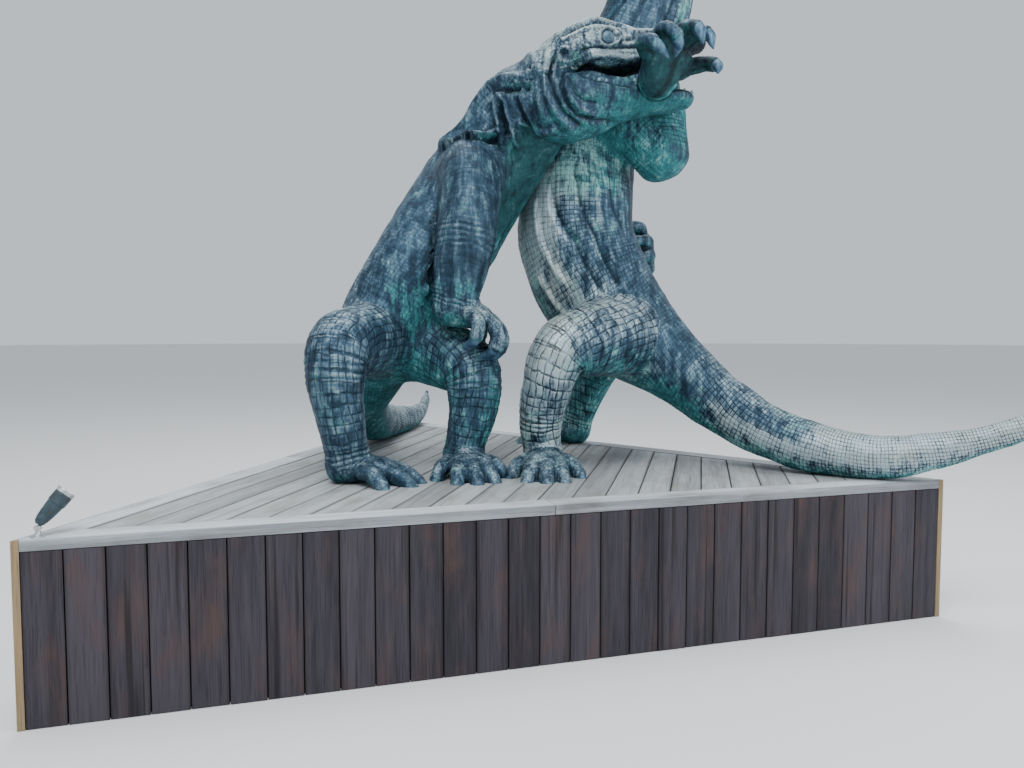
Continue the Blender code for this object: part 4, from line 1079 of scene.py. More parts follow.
def tooth_rows(dragon):
    """Teeth along both jaws: (root, tip) in the world."""
    rows = []
    for table, place, low, sign in ((SKULL, dragon.head, 0.26, -1), (JAW, dragon.head @ dragon.drop, 0.34, 1)):
        table = np.array(table)
        for k, x in enumerate(np.arange(low, 0.92, 0.044)):
            width, above, below = (np.interp(x, table[:, 0], table[:, c]) for c in (2, 3, 4))
            middle = np.interp(x, table[:, 0], table[:, 1])
            edge = middle + sign * (above if sign > 0 else below) * 0.52
            long = TOOTH_LENGTH * (0.8 + 0.4 * ((k * 7) % 5) / 4)
            for side in (-1, 1):
                root = place @ Vector((x * HEAD_LENGTH, side * width * 0.80, edge - sign * 0.010))
                tip = place @ Vector((x * HEAD_LENGTH - 0.4 * long, side * width * 0.78, edge + sign * long))
                rows.append((root, tip))
    return rows


def tooth_mesh(dragon):
    """Flattened, backward-curved cones."""
    points, faces = [], []
    for root, tip in tooth_rows(dragon):
        along = (tip - root).normalized()
        side = (dragon.head.to_3x3() @ Vector((0, 1, 0))).normalized()
        fore = side.cross(along).normalized()
        start = len(points)
        rings = ((0.0, 0.0115), (0.35, 0.0100), (0.7, 0.0062), (0.93, 0.0022))
        for share, radius in rings:
            middle = root.lerp(tip, share) + fore * 0.006 * math.sin(math.pi * share)
            for k in range(8):
                turn = 2 * math.pi * k / 8
                points.append(middle + fore * radius * math.cos(turn) + side * 0.6 * radius * math.sin(turn))
        for i in range(len(rings) - 1):
            a, b = start + 8 * i, start + 8 * (i + 1)
            faces.extend((a + k, a + (k + 1) % 8, b + (k + 1) % 8, b + k) for k in range(8))
        faces.append(tuple(start + k for k in reversed(range(8))))
        faces.append(tuple(start + 8 * (len(rings) - 1) + k for k in range(8)))
    return mesh_from(points, faces)


def eye_mesh(middle, outward, radius):
    """A ball with a small sunk pupil and a fine groove round its iris."""
    rings = [(0.0, 0.970), (0.10, 0.972), (0.14, 1.0), (0.50, 1.005), (0.545, 0.980), (0.59, 1.0)]
    rings += [(0.59 + (math.pi - 0.59) * k / 14, 1.0) for k in range(1, 14)]
    around = 32
    turn = Vector(outward).to_track_quat("Z", "Y").to_matrix()
    points = [middle + turn @ Vector((0, 0, radius * rings[0][1]))]
    iris = [1.0]
    for angle, far in rings[1:]:
        for k in range(around):
            spin = 2 * math.pi * k / around
            points.append(middle + turn @ Vector((math.sin(angle) * math.cos(spin),
                                                  math.sin(angle) * math.sin(spin),
                                                  math.cos(angle))) * radius * far)
            iris.append(0.8 if angle < 0.12 else 0.35 if 0.52 < angle < 0.58 else 0.0)
    points.append(middle - turn @ Vector((0, 0, radius)))
    iris.append(0.0)
    faces = [(0, 1 + k, 1 + (k + 1) % around) for k in range(around)]
    for i in range(len(rings) - 2):
        a, b = 1 + i * around, 1 + (i + 1) * around
        faces.extend((a + k, b + k, b + (k + 1) % around, a + (k + 1) % around) for k in range(around))
    last = 1 + (len(rings) - 2) * around
    faces.extend((last + k, len(points) - 1, last + (k + 1) % around) for k in range(around))
    mesh = mesh_from([tuple(p) for p in points], faces)
    mesh.attributes.new("iris", "FLOAT", "POINT").data.foreach_set("value", iris)
    return mesh


# ---- timber and lamp

def board_tree():
    """Geometry nodes: a row of equal boards with their own grain and tone."""
    tree = bpy.data.node_groups.new("Board Row", "GeometryNodeTree")
    for label, kind in (("Count", "Int"), ("Pitch", "Float"), ("Width", "Float"), ("Thickness", "Float"),
                        ("Length", "Float"), ("Unevenness", "Float"), ("Seed", "Int"), ("Finish", "Material")):
        tree.interface.new_socket(label, in_out="INPUT", socket_type=f"NodeSocket{kind}")
    tree.interface.new_socket("Boards", in_out="OUTPUT", socket_type="NodeSocketGeometry")
    graph = Graph(tree)
    given = graph.add("NodeGroupInput").outputs
    step = graph.add("ShaderNodeCombineXYZ", {"X": given["Pitch"]}).outputs[0]
    line = graph.add("GeometryNodeMeshLine", {"Count": given["Count"], "Offset": step}).outputs[0]
    size = graph.add("ShaderNodeCombineXYZ", {"X": given["Width"], "Y": given["Thickness"],
                                              "Z": given["Length"]}).outputs[0]
    cube = graph.add("GeometryNodeMeshCube", {"Size": size}).outputs[0]
    place = graph.add("GeometryNodeInputPosition").outputs[0]
    board = graph.add("GeometryNodeStoreNamedAttribute", {"Geometry": cube, "Name": "grain_place",
                                                          "Value": place}, data_type="FLOAT_VECTOR")
    row = graph.add("GeometryNodeInstanceOnPoints", {"Points": line, "Instance": board.outputs[0]}).outputs[0]
    push = graph.add("FunctionNodeRandomValue", {"Min": (-1.0, -1.0, -1.0), "Max": (1.0, 1.0, 1.0),
                                                 "Seed": given["Seed"]}, data_type="FLOAT_VECTOR").outputs[0]
    slack = graph.add("ShaderNodeCombineXYZ", {"X": 0.0, "Y": given["Unevenness"], "Z": 0.0}).outputs[0]
    shift = graph.add("ShaderNodeVectorMath", {0: push, 1: slack}, operation="MULTIPLY").outputs[0]
    row = graph.add("GeometryNodeTranslateInstances", {"Instances": row, "Translation": shift}).outputs[0]
    tone = graph.add("FunctionNodeRandomValue", {"Seed": given["Seed"]}, data_type="FLOAT").outputs[1]
    row = graph.add("GeometryNodeStoreNamedAttribute", {"Geometry": row, "Name": "board_tone", "Value": tone},
                    data_type="FLOAT", domain="INSTANCE").outputs[0]
    real = graph.add("GeometryNodeRealizeInstances", {"Geometry": row}).outputs[0]
    done = graph.add("GeometryNodeSetMaterial", {"Geometry": real, "Material": given["Finish"]}).outputs[0]
    graph.add("NodeGroupOutput", {"Boards": done})
    return tree


def grown_by_nodes(tree, values):
    """The plain mesh that a tree of geometry nodes makes from named values."""
    thing = shown("seedling", bpy.data.meshes.new("seedling"))
    modifier = thing.modifiers.new("rows", "NODES")
    modifier.node_group = tree
    for socket in tree.interface.items_tree:
        if socket.in_out == "INPUT":
            modifier[socket.identifier] = values[socket.name]
    return settled(thing)


def rounded(thing, width):
    bevel = thing.modifiers.new("worn_edges", "BEVEL")
    bevel.width = width
    bevel.segments = 2
    bevel.limit_method = "ANGLE"
    return thing


def cut_by(mesh, planes):
    """Cuts a mesh off beyond each plane (place, outward direction) and closes it."""
    shape = bmesh.new()
    shape.from_mesh(mesh)
    for place, outward in planes:
        cut = bmesh.ops.bisect_plane(shape, geom=list(shape.verts) + list(shape.edges) + list(shape.faces),
                                     plane_co=place, plane_no=outward, clear_outer=True)
        rim = [part for part in cut["geom_cut"] if isinstance(part, bmesh.types.BMEdge)]
        bmesh.ops.holes_fill(shape, edges=rim)
    shape.to_mesh(mesh)
    shape.free()


def side_turn(k):
    """Turns the front side to the k-th side of the triangle."""
    return Matrix.Rotation(math.radians(120 * k), 4, "Z")


def inward_planes(inset):
    """The three vertical planes that lie an inset inside the plinth's sides."""
    far = PLINTH_REACH - inset
    return [(side_turn(k) @ Vector((0, -far, 0)), side_turn(k) @ Vector((0, -1, 0))) for k in range(3)]


def mitre_planes():
    """The planes that halve the front side's two corners."""
    across, inward = math.cos(math.radians(60)), math.sin(math.radians(60))
    return [((sign * (PLINTH_SIDE / 2 - 0.001), -PLINTH_REACH, 0),
             (sign * across, inward, 0)) for sign in (-1, 1)]


# ---- finishes

class Graph:
    """Adds nodes to a tree: each input is a plain value or another node's output."""

    def __init__(self, tree):
        self.tree = tree

    def add(self, kind, inputs=None, **settings):
        node = self.tree.nodes.new(kind)
        for name, value in settings.items():
            setattr(node, name, value)
        for key, value in (inputs or {}).items():
            if isinstance(value, bpy.types.NodeSocket):
                self.tree.links.new(value, node.inputs[key])
            else:
                node.inputs[key].default_value = value
        return node

    def math(self, operation, a, b=0.0, clamp=False):
        return self.add("ShaderNodeMath", {0: a, 1: b}, operation=operation, use_clamp=clamp).outputs[0]

    def mix(self, share, a, b):
        return self.add("ShaderNodeMix", {0: share, 6: a, 7: b}, data_type="RGBA").outputs[2]

    def step(self, value, low, high):
        """0 below low, 1 above high, with soft ends."""
        return self.add("ShaderNodeMapRange", {"Value": value, "From Min": low, "From Max": high},
                        interpolation_type="SMOOTHSTEP").outputs[0]

    def noise(self, place, scale, detail=3.0, rough=0.55):
        return self.add("ShaderNodeTexNoise", {"Vector": place, "Scale": scale, "Detail": detail,
                                               "Roughness": rough}).outputs[0]

    def swayed(self, start, *pushes):
        """A value pushed up and down by each (noise, how far)."""
        for noise, far in pushes:
            start = self.add("ShaderNodeMath", {0: self.math("SUBTRACT", noise, 0.5), 1: far, 2: start},
                             operation="MULTIPLY_ADD").outputs[0]
        return start

    def stretched(self, place, sizes):
        return self.add("ShaderNodeVectorMath", {0: place, 1: sizes}, operation="MULTIPLY").outputs[0]

    def read(self, name):
        return self.add("ShaderNodeAttribute", attribute_name=name)


def effect_group(name, takes, gives):
    """A shader node group with named inputs and outputs: its graph, inputs and output sockets."""
    tree = bpy.data.node_groups.new(name, "ShaderNodeTree")
    for label, kind, value in takes:
        socket = tree.interface.new_socket(label, in_out="INPUT", socket_type=f"NodeSocket{kind}")
        socket.default_value = value
    for label, kind in gives:
        tree.interface.new_socket(label, in_out="OUTPUT", socket_type=f"NodeSocket{kind}")
    graph = Graph(tree)
    return graph, graph.add("NodeGroupInput").outputs, graph.add("NodeGroupOutput").inputs


def shared(name, build):
    return bpy.data.node_groups.get(name) or build(name)


def bronze_group(name):
    """Weathered bronze: dark patina, verdigris, rubbed pale crests with painted sky light on faces turned up,
    grime in the hollows and painted shade where the Dark input says.
    """
    graph, given, result = effect_group(name, [
        ("Place", "Vector", (0, 0, 0)), ("Green", "Float", 0.2), ("Pale", "Float", 0.1), ("Dark", "Float", 0.0),
        ("Crest", "Float", 0.0), ("Groove", "Float", 0.0), ("Tone", "Float", 0.5),
        ("Patina", "Color", (0, 0, 0, 1)), ("Verdigris", "Color", (0, 0, 0, 1)),
        ("Rubbed", "Color", (1, 1, 1, 1)),
    ], [("Colour", "Color"), ("Roughness", "Float"), ("Metal", "Float"), ("Height", "Float")])
    place = given["Place"]
    broad = graph.noise(place, 3.2, 4.0, 0.6)
    patch = graph.noise(place, 14.0, 5.0, 0.65)
    drip = graph.noise(graph.stretched(place, (24.0, 24.0, 3.0)), 1.0, 4.0, 0.6)
    run = graph.noise(graph.stretched(place, (75.0, 75.0, 7.0)), 1.0, 3.0, 0.6)
    fleck = graph.noise(place, 70.0, 4.0, 0.7)
    grit = graph.noise(place, 260.0, 2.0, 0.6)
    # dark ground, lighter from scale to scale
    light = graph.step(graph.swayed(0.60, (patch, 1.3), (drip, 1.9), (given["Tone"], 0.35)), 0.0, 1.0)
    ground = graph.mix(light, graph.mix(0.72, given["Patina"], (0.003, 0.005, 0.010, 1)), given["Patina"])
    # pale crests, rubbed patches and painted sky light on faces turned up, all carried in by Pale
    rub_and_sky_light = graph.math("ADD", given["Pale"], graph.math("MULTIPLY", given["Crest"], 0.32))
    rub_and_sky_light = graph.swayed(rub_and_sky_light, (fleck, 0.35), (patch, 1.4), (drip, 2.0), (run, 0.9), (given["Tone"], 0.22))
    slate = graph.mix(0.30, given["Patina"], given["Rubbed"])
    ground = graph.mix(graph.math("MULTIPLY", graph.step(rub_and_sky_light, -0.05, 0.62), 0.75), ground, slate)
    warm = graph.mix(0.35, given["Rubbed"], (0.42, 0.40, 0.28, 1))
    rubbed = graph.mix(graph.step(broad, 0.46, 0.66), given["Rubbed"], warm)
    ground = graph.mix(graph.math("MULTIPLY", graph.step(rub_and_sky_light, 0.35, 1.0), 0.92), ground, rubbed)
    # verdigris, in a deep and a chalky shade
    chalk = graph.mix(0.55, given["Verdigris"], (0.50, 0.80, 0.75, 1))
    deep = graph.mix(0.55, given["Verdigris"], (0.003, 0.022, 0.030, 1))
    bloom = graph.swayed(0.5, (patch, 1.6), (fleck, 0.5), (run, 1.2), (given["Tone"], 0.15))
    green = graph.mix(graph.step(bloom, 0.18, 0.62), deep, given["Verdigris"])
    bloom = graph.math("ADD", bloom, graph.math("MULTIPLY", given["Pale"], 0.50))
    green = graph.mix(graph.math("MULTIPLY", graph.step(bloom, 0.62, 1.10), 0.85), green, chalk)
    spread = graph.swayed(given["Green"], (patch, 1.2), (broad, 1.2), (drip, 1.9), (fleck, 0.35), (run, 0.7))
    spread = graph.step(spread, 0.15, 0.90)
    colour = graph.mix(graph.math("MULTIPLY", spread, 0.92), ground, green)
    # grime in the joints and fine hollows, and painted shade from the Dark input: mouth, eye creases, deep
    # folds, shaded belly and palms
    dirt_and_shade = graph.math("MULTIPLY", given["Groove"], 0.90)
    low = graph.math("MULTIPLY", graph.step(given["Crest"], 0.0, -1.0), 0.60)
    dirt_and_shade = graph.math("MAXIMUM", graph.math("MAXIMUM", dirt_and_shade, low), given["Dark"])
    colour = graph.mix(dirt_and_shade, colour, graph.mix(0.88, colour, (0.003, 0.006, 0.009, 1)))
    links = graph.tree.links
    links.new(colour, result["Colour"])
    rough = graph.math("ADD", 0.40, graph.math("MULTIPLY", spread, 0.30))
    rough = graph.math("ADD", rough, graph.math("MULTIPLY", fleck, 0.14))
    links.new(rough, result["Roughness"])
    links.new(graph.math("MULTIPLY", graph.math("SUBTRACT", 1.0, spread), 0.45), result["Metal"])
    height = graph.math("ADD", graph.math("MULTIPLY", fleck, 0.5), graph.math("MULTIPLY", grit, 0.25))
    links.new(graph.math("SUBTRACT", height, given["Groove"]), result["Height"])
    return graph.tree


def timber_group(name):
    """Weathered boards: fibres along each board, its own tone, water stains and dark edges."""
    graph, given, result = effect_group(name, [
        ("Place", "Vector", (0, 0, 0)), ("Tone", "Float", 0.5), ("Half Width", "Float", 0.07),
        ("Stain", "Float", 0.5), ("Light", "Color", (1, 1, 1, 1)), ("Dark", "Color", (0, 0, 0, 1)),
        ("Warm", "Color", (0, 0, 0, 1)),
    ], [("Colour", "Color"), ("Roughness", "Float"), ("Height", "Float")])
    slide = graph.add("ShaderNodeCombineXYZ", {"X": graph.math("MULTIPLY", given["Tone"], 9.0), "Y": 0.0,
                                               "Z": graph.math("MULTIPLY", given["Tone"], 37.0)}).outputs[0]
    place = graph.add("ShaderNodeVectorMath", {0: given["Place"], 1: slide}, operation="ADD").outputs[0]
    band = graph.noise(graph.stretched(place, (26.0, 26.0, 1.1)), 1.0, 4.0, 0.6)
    fibre = graph.noise(graph.stretched(place, (210.0, 210.0, 5.0)), 1.0, 3.0, 0.65)
    blot = graph.noise(graph.stretched(place, (6.0, 6.0, 2.6)), 1.0, 4.0, 0.6)
    run = graph.noise(graph.stretched(place, (30.0, 30.0, 0.8)), 1.0, 2.0, 0.5)
    light = graph.math("ADD", graph.math("MULTIPLY", band, 0.55), graph.math("MULTIPLY", fibre, 0.45))
    light = graph.math("ADD", light, graph.math("MULTIPLY", graph.math("SUBTRACT", given["Tone"], 0.5), 0.30))
    colour = graph.mix(graph.step(light, 0.22, 0.80), given["Dark"], given["Light"])
    colour = graph.mix(graph.math("MULTIPLY", graph.step(blot, 0.45, 0.75), 0.6), colour, given["Warm"])
    x = graph.add("ShaderNodeSeparateXYZ", {0: given["Place"]}).outputs[0]
    edge = graph.math("DIVIDE", graph.math("ABSOLUTE", x), given["Half Width"])
    edge = graph.math("ADD", edge, graph.math("MULTIPLY", graph.math("SUBTRACT", run, 0.5), 0.5))
    wet = graph.math("MULTIPLY", graph.step(edge, 0.78, 1.05), 0.55)
    streak = graph.math("MULTIPLY", graph.step(run, 0.60, 0.72), given["Stain"])
    colour = graph.mix(graph.math("MAXIMUM", wet, streak), colour, (0.012, 0.011, 0.013, 1))
    links = graph.tree.links
    links.new(colour, result["Colour"])
    links.new(graph.math("ADD", 0.62, graph.math("MULTIPLY", fibre, 0.25)), result["Roughness"])
    crack = graph.step(fibre, 0.34, 0.42)
    links.new(graph.math("ADD", graph.math("MULTIPLY", fibre, 0.6), graph.math("MULTIPLY", crack, 0.5)),
              result["Height"])
    return graph.tree


def new_finish(name):
    """A material's graph and its shader."""
    material = bpy.data.materials.new(name)
    material.use_nodes = True
    graph = Graph(material.node_tree)
    return material, graph, material.node_tree.nodes["Principled BSDF"]


def wear_finish(graph, shader, group, depth):
    """Feeds a shader from an effect group's outputs, with its height as a bump."""
    links = graph.tree.links
    links.new(group.outputs["Colour"], shader.inputs["Base Color"])
    links.new(group.outputs["Roughness"], shader.inputs["Roughness"])
    shader.inputs["Specular IOR Level"].default_value = 0.2
    if "Metal" in group.outputs:
        links.new(group.outputs["Metal"], shader.inputs["Metallic"])
    bump = graph.add("ShaderNodeBump", {"Height": group.outputs["Height"], "Distance": depth, "Strength": 1.0})
    links.new(bump.outputs[0], shader.inputs["Normal"])


def tint(colour):
    return (*colour, 1.0)


def skin_finish(settings):
    """Bronze with rows of square scales on the body and round ones on head, hands and feet."""
    material, graph, shader = new_finish("scaled_bronze")
    place = graph.add("ShaderNodeTexCoord").outputs["Object"]
    # besides patina, the pale carries painted sky light and the dark carries painted shade
    patina = graph.add("ShaderNodeSeparateXYZ", {0: graph.read("patina").outputs["Vector"]}).outputs
    relief = graph.add("ShaderNodeSeparateXYZ", {0: graph.read("relief").outputs["Vector"]}).outputs
    spot = graph.read("scale_place").outputs["Vector"]
    waver = graph.add("ShaderNodeTexNoise", {"Vector": place, "Scale": 22.0, "Detail": 2.0}).outputs[1]
    waver = graph.add("ShaderNodeVectorMath", {0: waver, 1: (0.5, 0.5, 0.5)}, operation="SUBTRACT").outputs[0]
    waver = graph.stretched(waver, (0.28, 0.28, 0.0))
    spot = graph.add("ShaderNodeVectorMath", {0: spot, 1: waver}, operation="ADD").outputs[0]
    across, down, grid = graph.add("ShaderNodeSeparateXYZ", {0: spot}).outputs
    gaps = []
    for value in (across, down):
        inside = graph.math("FRACT", value)
        gaps.append(graph.math("MINIMUM", inside, graph.math("SUBTRACT", 1.0, inside)))
    near = graph.math("MINIMUM", gaps[0], gaps[1])
    fine = graph.noise(place, 60.0, 2.0)
    near = graph.math("ADD", near, graph.math("MULTIPLY", graph.math("SUBTRACT", fine, 0.5), 0.12))
    square = graph.step(near, 0.13, 0.035)
    cell = graph.add("ShaderNodeCombineXYZ", {"X": graph.math("FLOOR", across), "Y": graph.math("FLOOR", down),
                                              "Z": 0.0}).outputs[0]
    tone = graph.add("ShaderNodeTexWhiteNoise", {"Vector": cell}, noise_dimensions="3D").outputs[0]
    round_gap = graph.add("ShaderNodeTexVoronoi", {"Vector": place, "Scale": 50.0},
                          feature="DISTANCE_TO_EDGE").outputs["Distance"]
    pebble = graph.math("MULTIPLY", graph.step(round_gap, 0.09, 0.02), 0.42)
    share = graph.step(grid, 0.3, 0.7)
    broken = graph.step(graph.noise(place, 15.0, 3.0), 0.36, 0.60)
    broken = graph.math("ADD", 0.40, graph.math("MULTIPLY", broken, 0.60))
    square = graph.math("MULTIPLY", graph.math("MULTIPLY", square, relief[2]), broken)
    groove = graph.add("ShaderNodeMix", {0: share, 2: pebble, 3: square}, data_type="FLOAT").outputs[0]
    tone = graph.add("ShaderNodeMix", {0: share, 2: 0.5, 3: tone}, data_type="FLOAT").outputs[0]
    group = graph.add("ShaderNodeGroup", node_tree=shared("Weathered Bronze", bronze_group))
    for label, value in (("Place", place), ("Green", patina[0]), ("Pale", patina[1]), ("Dark", patina[2]),
                         ("Crest", relief[0]), ("Groove", groove), ("Tone", tone)):
        graph.tree.links.new(value, group.inputs[label])
    group.inputs["Patina"].default_value = tint(settings.patina_colour)
    group.inputs["Verdigris"].default_value = tint(settings.verdigris_colour)
    group.inputs["Rubbed"].default_value = tint(settings.rubbed_and_sky_lit_colour)
    wear_finish(graph, shader, group, 0.0022)
    return material


def plain_bronze(settings, name, green, pale, iris=False):
    """Smoother bronze of claws, teeth and eyes."""
    material, graph, shader = new_finish(name)
    place = graph.add("ShaderNodeTexCoord").outputs["Object"]
    group = graph.add("ShaderNodeGroup", {"Place": place, "Green": green, "Pale": pale, "Tone": 0.8},
                      node_tree=shared("Weathered Bronze", bronze_group))
    if iris:
        ring = graph.read("iris").outputs["Fac"]
        graph.tree.links.new(graph.math("MULTIPLY", ring, 0.8), group.inputs["Dark"])
    group.inputs["Patina"].default_value = tint([1.5 * c for c in settings.patina_colour])
    group.inputs["Verdigris"].default_value = tint(settings.verdigris_colour)
    group.inputs["Rubbed"].default_value = tint(settings.rubbed_and_sky_lit_colour)
    wear_finish(graph, shader, group, 0.0010)
    return material


def timber_finish(name, light, dark, warm, half_width, stain, boards=True):
    """Weathered timber; loose pieces without a board row take their grain from the object."""
    material, graph, shader = new_finish(name)
    group = graph.add("ShaderNodeGroup", {"Half Width": half_width, "Stain": stain, "Light": tint(light),
                                          "Dark": tint(dark), "Warm": tint(warm)},
                      node_tree=shared("Weathered Timber", timber_group))
    if boards:
        graph.tree.links.new(graph.read("grain_place").outputs["Vector"], group.inputs["Place"])
        graph.tree.links.new(graph.read("board_tone").outputs["Fac"], group.inputs["Tone"])
    else:
        place = graph.add("ShaderNodeTexCoord").outputs["Object"]
        graph.tree.links.new(place, group.inputs["Place"])
    wear_finish(graph, shader, group, 0.0015)
    return material


def finish(name, build):
    return bpy.data.materials.get(name) or build()


def studio():
    """Pale floor, soft lights and the visitor's camera."""
    rim = [(90 * math.cos(math.radians(5 * k)), 90 * math.sin(math.radians(5 * k)), 0) for k in range(72)]
    floor_mesh = mesh_from(rim, [tuple(range(72))])
    floor = shown("floor", floor_mesh)
    pale, _, shader = new_finish("floor_paint")
    shader.inputs["Base Color"].default_value = (0.72, 0.73, 0.74, 1)
    shader.inputs["Roughness"].default_value = 0.9
    floor.data.materials.append(pale)
    world = bpy.data.worlds.new("studio")
    bpy.context.scene.world = world
    world.use_nodes = True
    world.node_tree.nodes["Background"].inputs["Color"].default_value = (0.80, 0.86, 0.92, 1)
    world.node_tree.nodes["Background"].inputs["Strength"].default_value = 0.88
    for name, place, size, power in (("key_light", (-3.0, -5.5, 9.5), 5.0, 900),
                                     ("fill_light", (6.0, -6.0, 4.0), 5.0, 380),
                                     ("top_light", (1.0, 2.5, 10.5), 7.0, 620)):
        light = bpy.data.lights.new(name, "AREA")
        light.size = size
        light.energy = power
        lamp = bpy.data.objects.new(name, light)
        lamp.location = place
        lamp.rotation_euler = (Vector((0.2, 0, 2.0)) - Vector(place)).to_track_quat("-Z", "Y").to_euler()
        bpy.context.scene.collection.objects.link(lamp)
    view = bpy.data.cameras.new("visitor")
    view.lens = CAMERA_LENS
    view.clip_end = 200
    camera = bpy.data.objects.new("visitor", view)
    camera.location = CAMERA_PLACE
    camera.rotation_euler = (math.pi / 2 + CAMERA_TILT, 0, -CAMERA_HEADING)
    bpy.context.scene.collection.objects.link(camera)
    bpy.context.scene.camera = camera


# ---- pieces

def keep(thing, slot, *nodes):
    """Fixes a finished piece to the sculpture, in place of the CAD nodes it stands for."""
    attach(thing, "root")
    if nodes:
        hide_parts(*nodes)


def dress_dragon(settings, dragon, other, gives_way):
    skin = Skin(dragon, other, gives_way)
    side = dragon.side
    bronze = finish("scaled_bronze", lambda: skin_finish(settings))
    for name, piece, mesh in cut_parts(skin):
        mesh.materials.append(bronze)
        nodes = [f"{side}_{node}" for node in SKIN_NODES[name]]
        keep(shown(piece, mesh), nodes[0], *nodes)
    horn = finish("claw_bronze", lambda: plain_bronze(settings, "claw_bronze", 0.10, 0.12))
    claws = shown(f"{side}_dragon_claws", claw_meshes(dragon))
    claws.data.materials.append(horn)
    claws.data.shade_smooth()
    keep(claws, f"{side}_hand_left")
    ivory = finish("tooth_bronze", lambda: plain_bronze(settings, "tooth_bronze", 0.35, 0.45))
    teeth = shown(f"{side}_dragon_teeth", tooth_mesh(dragon))
    teeth.data.materials.append(ivory)
    teeth.data.shade_smooth()
    keep(teeth, f"{side}_jaw")
    glint = finish("eye_bronze", lambda: plain_bronze(settings, "eye_bronze", 0.30, 0.42, iris=True))
    for eye_side, sign in (("left", 1), ("right", -1)):
        node = f"{side}_eye_{eye_side}"
        low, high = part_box(node)
        outward = dragon.head.to_3x3() @ Vector((0.12, sign, 0.10))
        eye = shown(f"{side}_dragon_eye_{eye_side}", eye_mesh((low + high) / 2, outward, (high - low).x / 2))
        eye.data.materials.append(glint)
        eye.data.shade_smooth()
        keep(eye, node, node)


def board_row(count, pitch, width, thickness, length, uneven, seed, material):
    tree = shared("Board Row", lambda name: board_tree())
    return grown_by_nodes(tree, {"Count": count, "Pitch": pitch, "Width": width, "Thickness": thickness,
                                 "Length": length, "Unevenness": uneven, "Seed": seed, "Finish": material})


def dress_cladding(settings):
    """Upright boards on the three sides."""
    low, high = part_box("plinth_cladding_front")
    span = high.x - low.x
    count = round(span / settings.cladding_width)
    pitch = span / count
    stained = finish("cladding_timber", lambda: timber_finish(
        "cladding_timber", settings.cladding_light, settings.cladding_dark, (0.085, 0.048, 0.040),
        pitch / 2, 0.75))
    thick = high.y - low.y - UNEVEN
    for name, k in SIDES.items():
        mesh = board_row(count, pitch, pitch - settings.board_gap, thick, high.z - low.z - 0.004, UNEVEN / 2,
                         5 + k, stained)
        middle = Vector((low.x + pitch / 2, (low.y + high.y) / 2, (low.z + high.z) / 2))
        mesh.transform(Matrix.Translation(middle))
        cut_by(mesh, mitre_planes())
        mesh.transform(side_turn(k))
        boards = rounded(shown(f"cladding_boards_{name}", mesh), BOARD_WEAR)
        keep(boards, f"plinth_cladding_{name}", f"plinth_cladding_{name}")


def dress_deck(settings):
    """Boards on top, laid along the left side, inside the edge boards."""
    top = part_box("plinth_deck")[1].z
    inset = EDGE_WIDTH + settings.board_gap
    pitch = settings.deck_width
    depth = 3 * (PLINTH_REACH - inset)
    count = math.ceil(depth / pitch)
    grey = finish("deck_timber", lambda: timber_finish(
        "deck_timber", settings.deck_light, settings.deck_dark, (0.20, 0.185, 0.16), pitch / 2, 0.22))
    mesh = board_row(count, pitch, pitch - settings.board_gap, BOARD_THICKNESS, PLINTH_SIDE, UNEVEN / 3, 11,
                     grey)
    lay = Matrix(((1, 0, 0), (0, 0, -1), (0, 1, 0))).to_4x4()  # a board's length from Z to -Y
    start = Vector((-(PLINTH_REACH - inset) + pitch / 2, 0, top - BOARD_THICKNESS / 2))
    side = math.radians(-30)  # the row's steps go away from the left side
    mesh.transform(Matrix.Rotation(side, 4, "Z") @ Matrix.Translation(start) @ lay)
    cut_by(mesh, inward_planes(inset))
    boards = rounded(shown("deck_boards", mesh), BOARD_WEAR)
    keep(boards, "plinth_deck", "plinth_deck")


def dress_edges(settings):
    """Flush trim boards round the top, two lengths a side, mitred at the corners."""
    low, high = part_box("plinth_edge_front")
    # painted light: the edge colours are lighter than the deck's, brightening the boards' shaded upright faces
    grey = finish("edge_timber", lambda: timber_finish(
        "edge_timber", settings.edge_light, settings.edge_dark, (0.20, 0.19, 0.18), EDGE_WIDTH / 2, 0.25))
    long = PLINTH_SIDE / 2
    for name, k in SIDES.items():
        mesh = board_row(2, long, EDGE_WIDTH, high.z - low.z, long - 0.003, 0.0, 21 + k, grey)
        lay_boards_along(mesh, long)
        mesh.transform(Matrix.Translation((0, -PLINTH_REACH + EDGE_WIDTH / 2, (low.z + high.z) / 2)))
        cut_by(mesh, mitre_planes() + [((sign * high.x, 0, 0), (sign, 0, 0)) for sign in (-1, 1)])
        mesh.transform(side_turn(k))
        boards = rounded(shown(f"edge_boards_{name}", mesh), EDGE_WEAR)
        keep(boards, f"plinth_edge_{name}", f"plinth_edge_{name}")


def lay_boards_along(mesh, long):
    """Turns each board of a row, stepped along X, so that its own length runs along X."""
    points = points_of(mesh)
    grain = np.empty(len(points) * 3, np.float32)
    mesh.attributes["grain_place"].data.foreach_get("vector", grain)
    grain = grain.reshape(-1, 3)
    step = np.round((points[:, 0] - grain[:, 0]) / long)
    put_points(mesh, np.stack([(step - 0.5) * long + grain[:, 2], grain[:, 0], grain[:, 1]], axis=1))


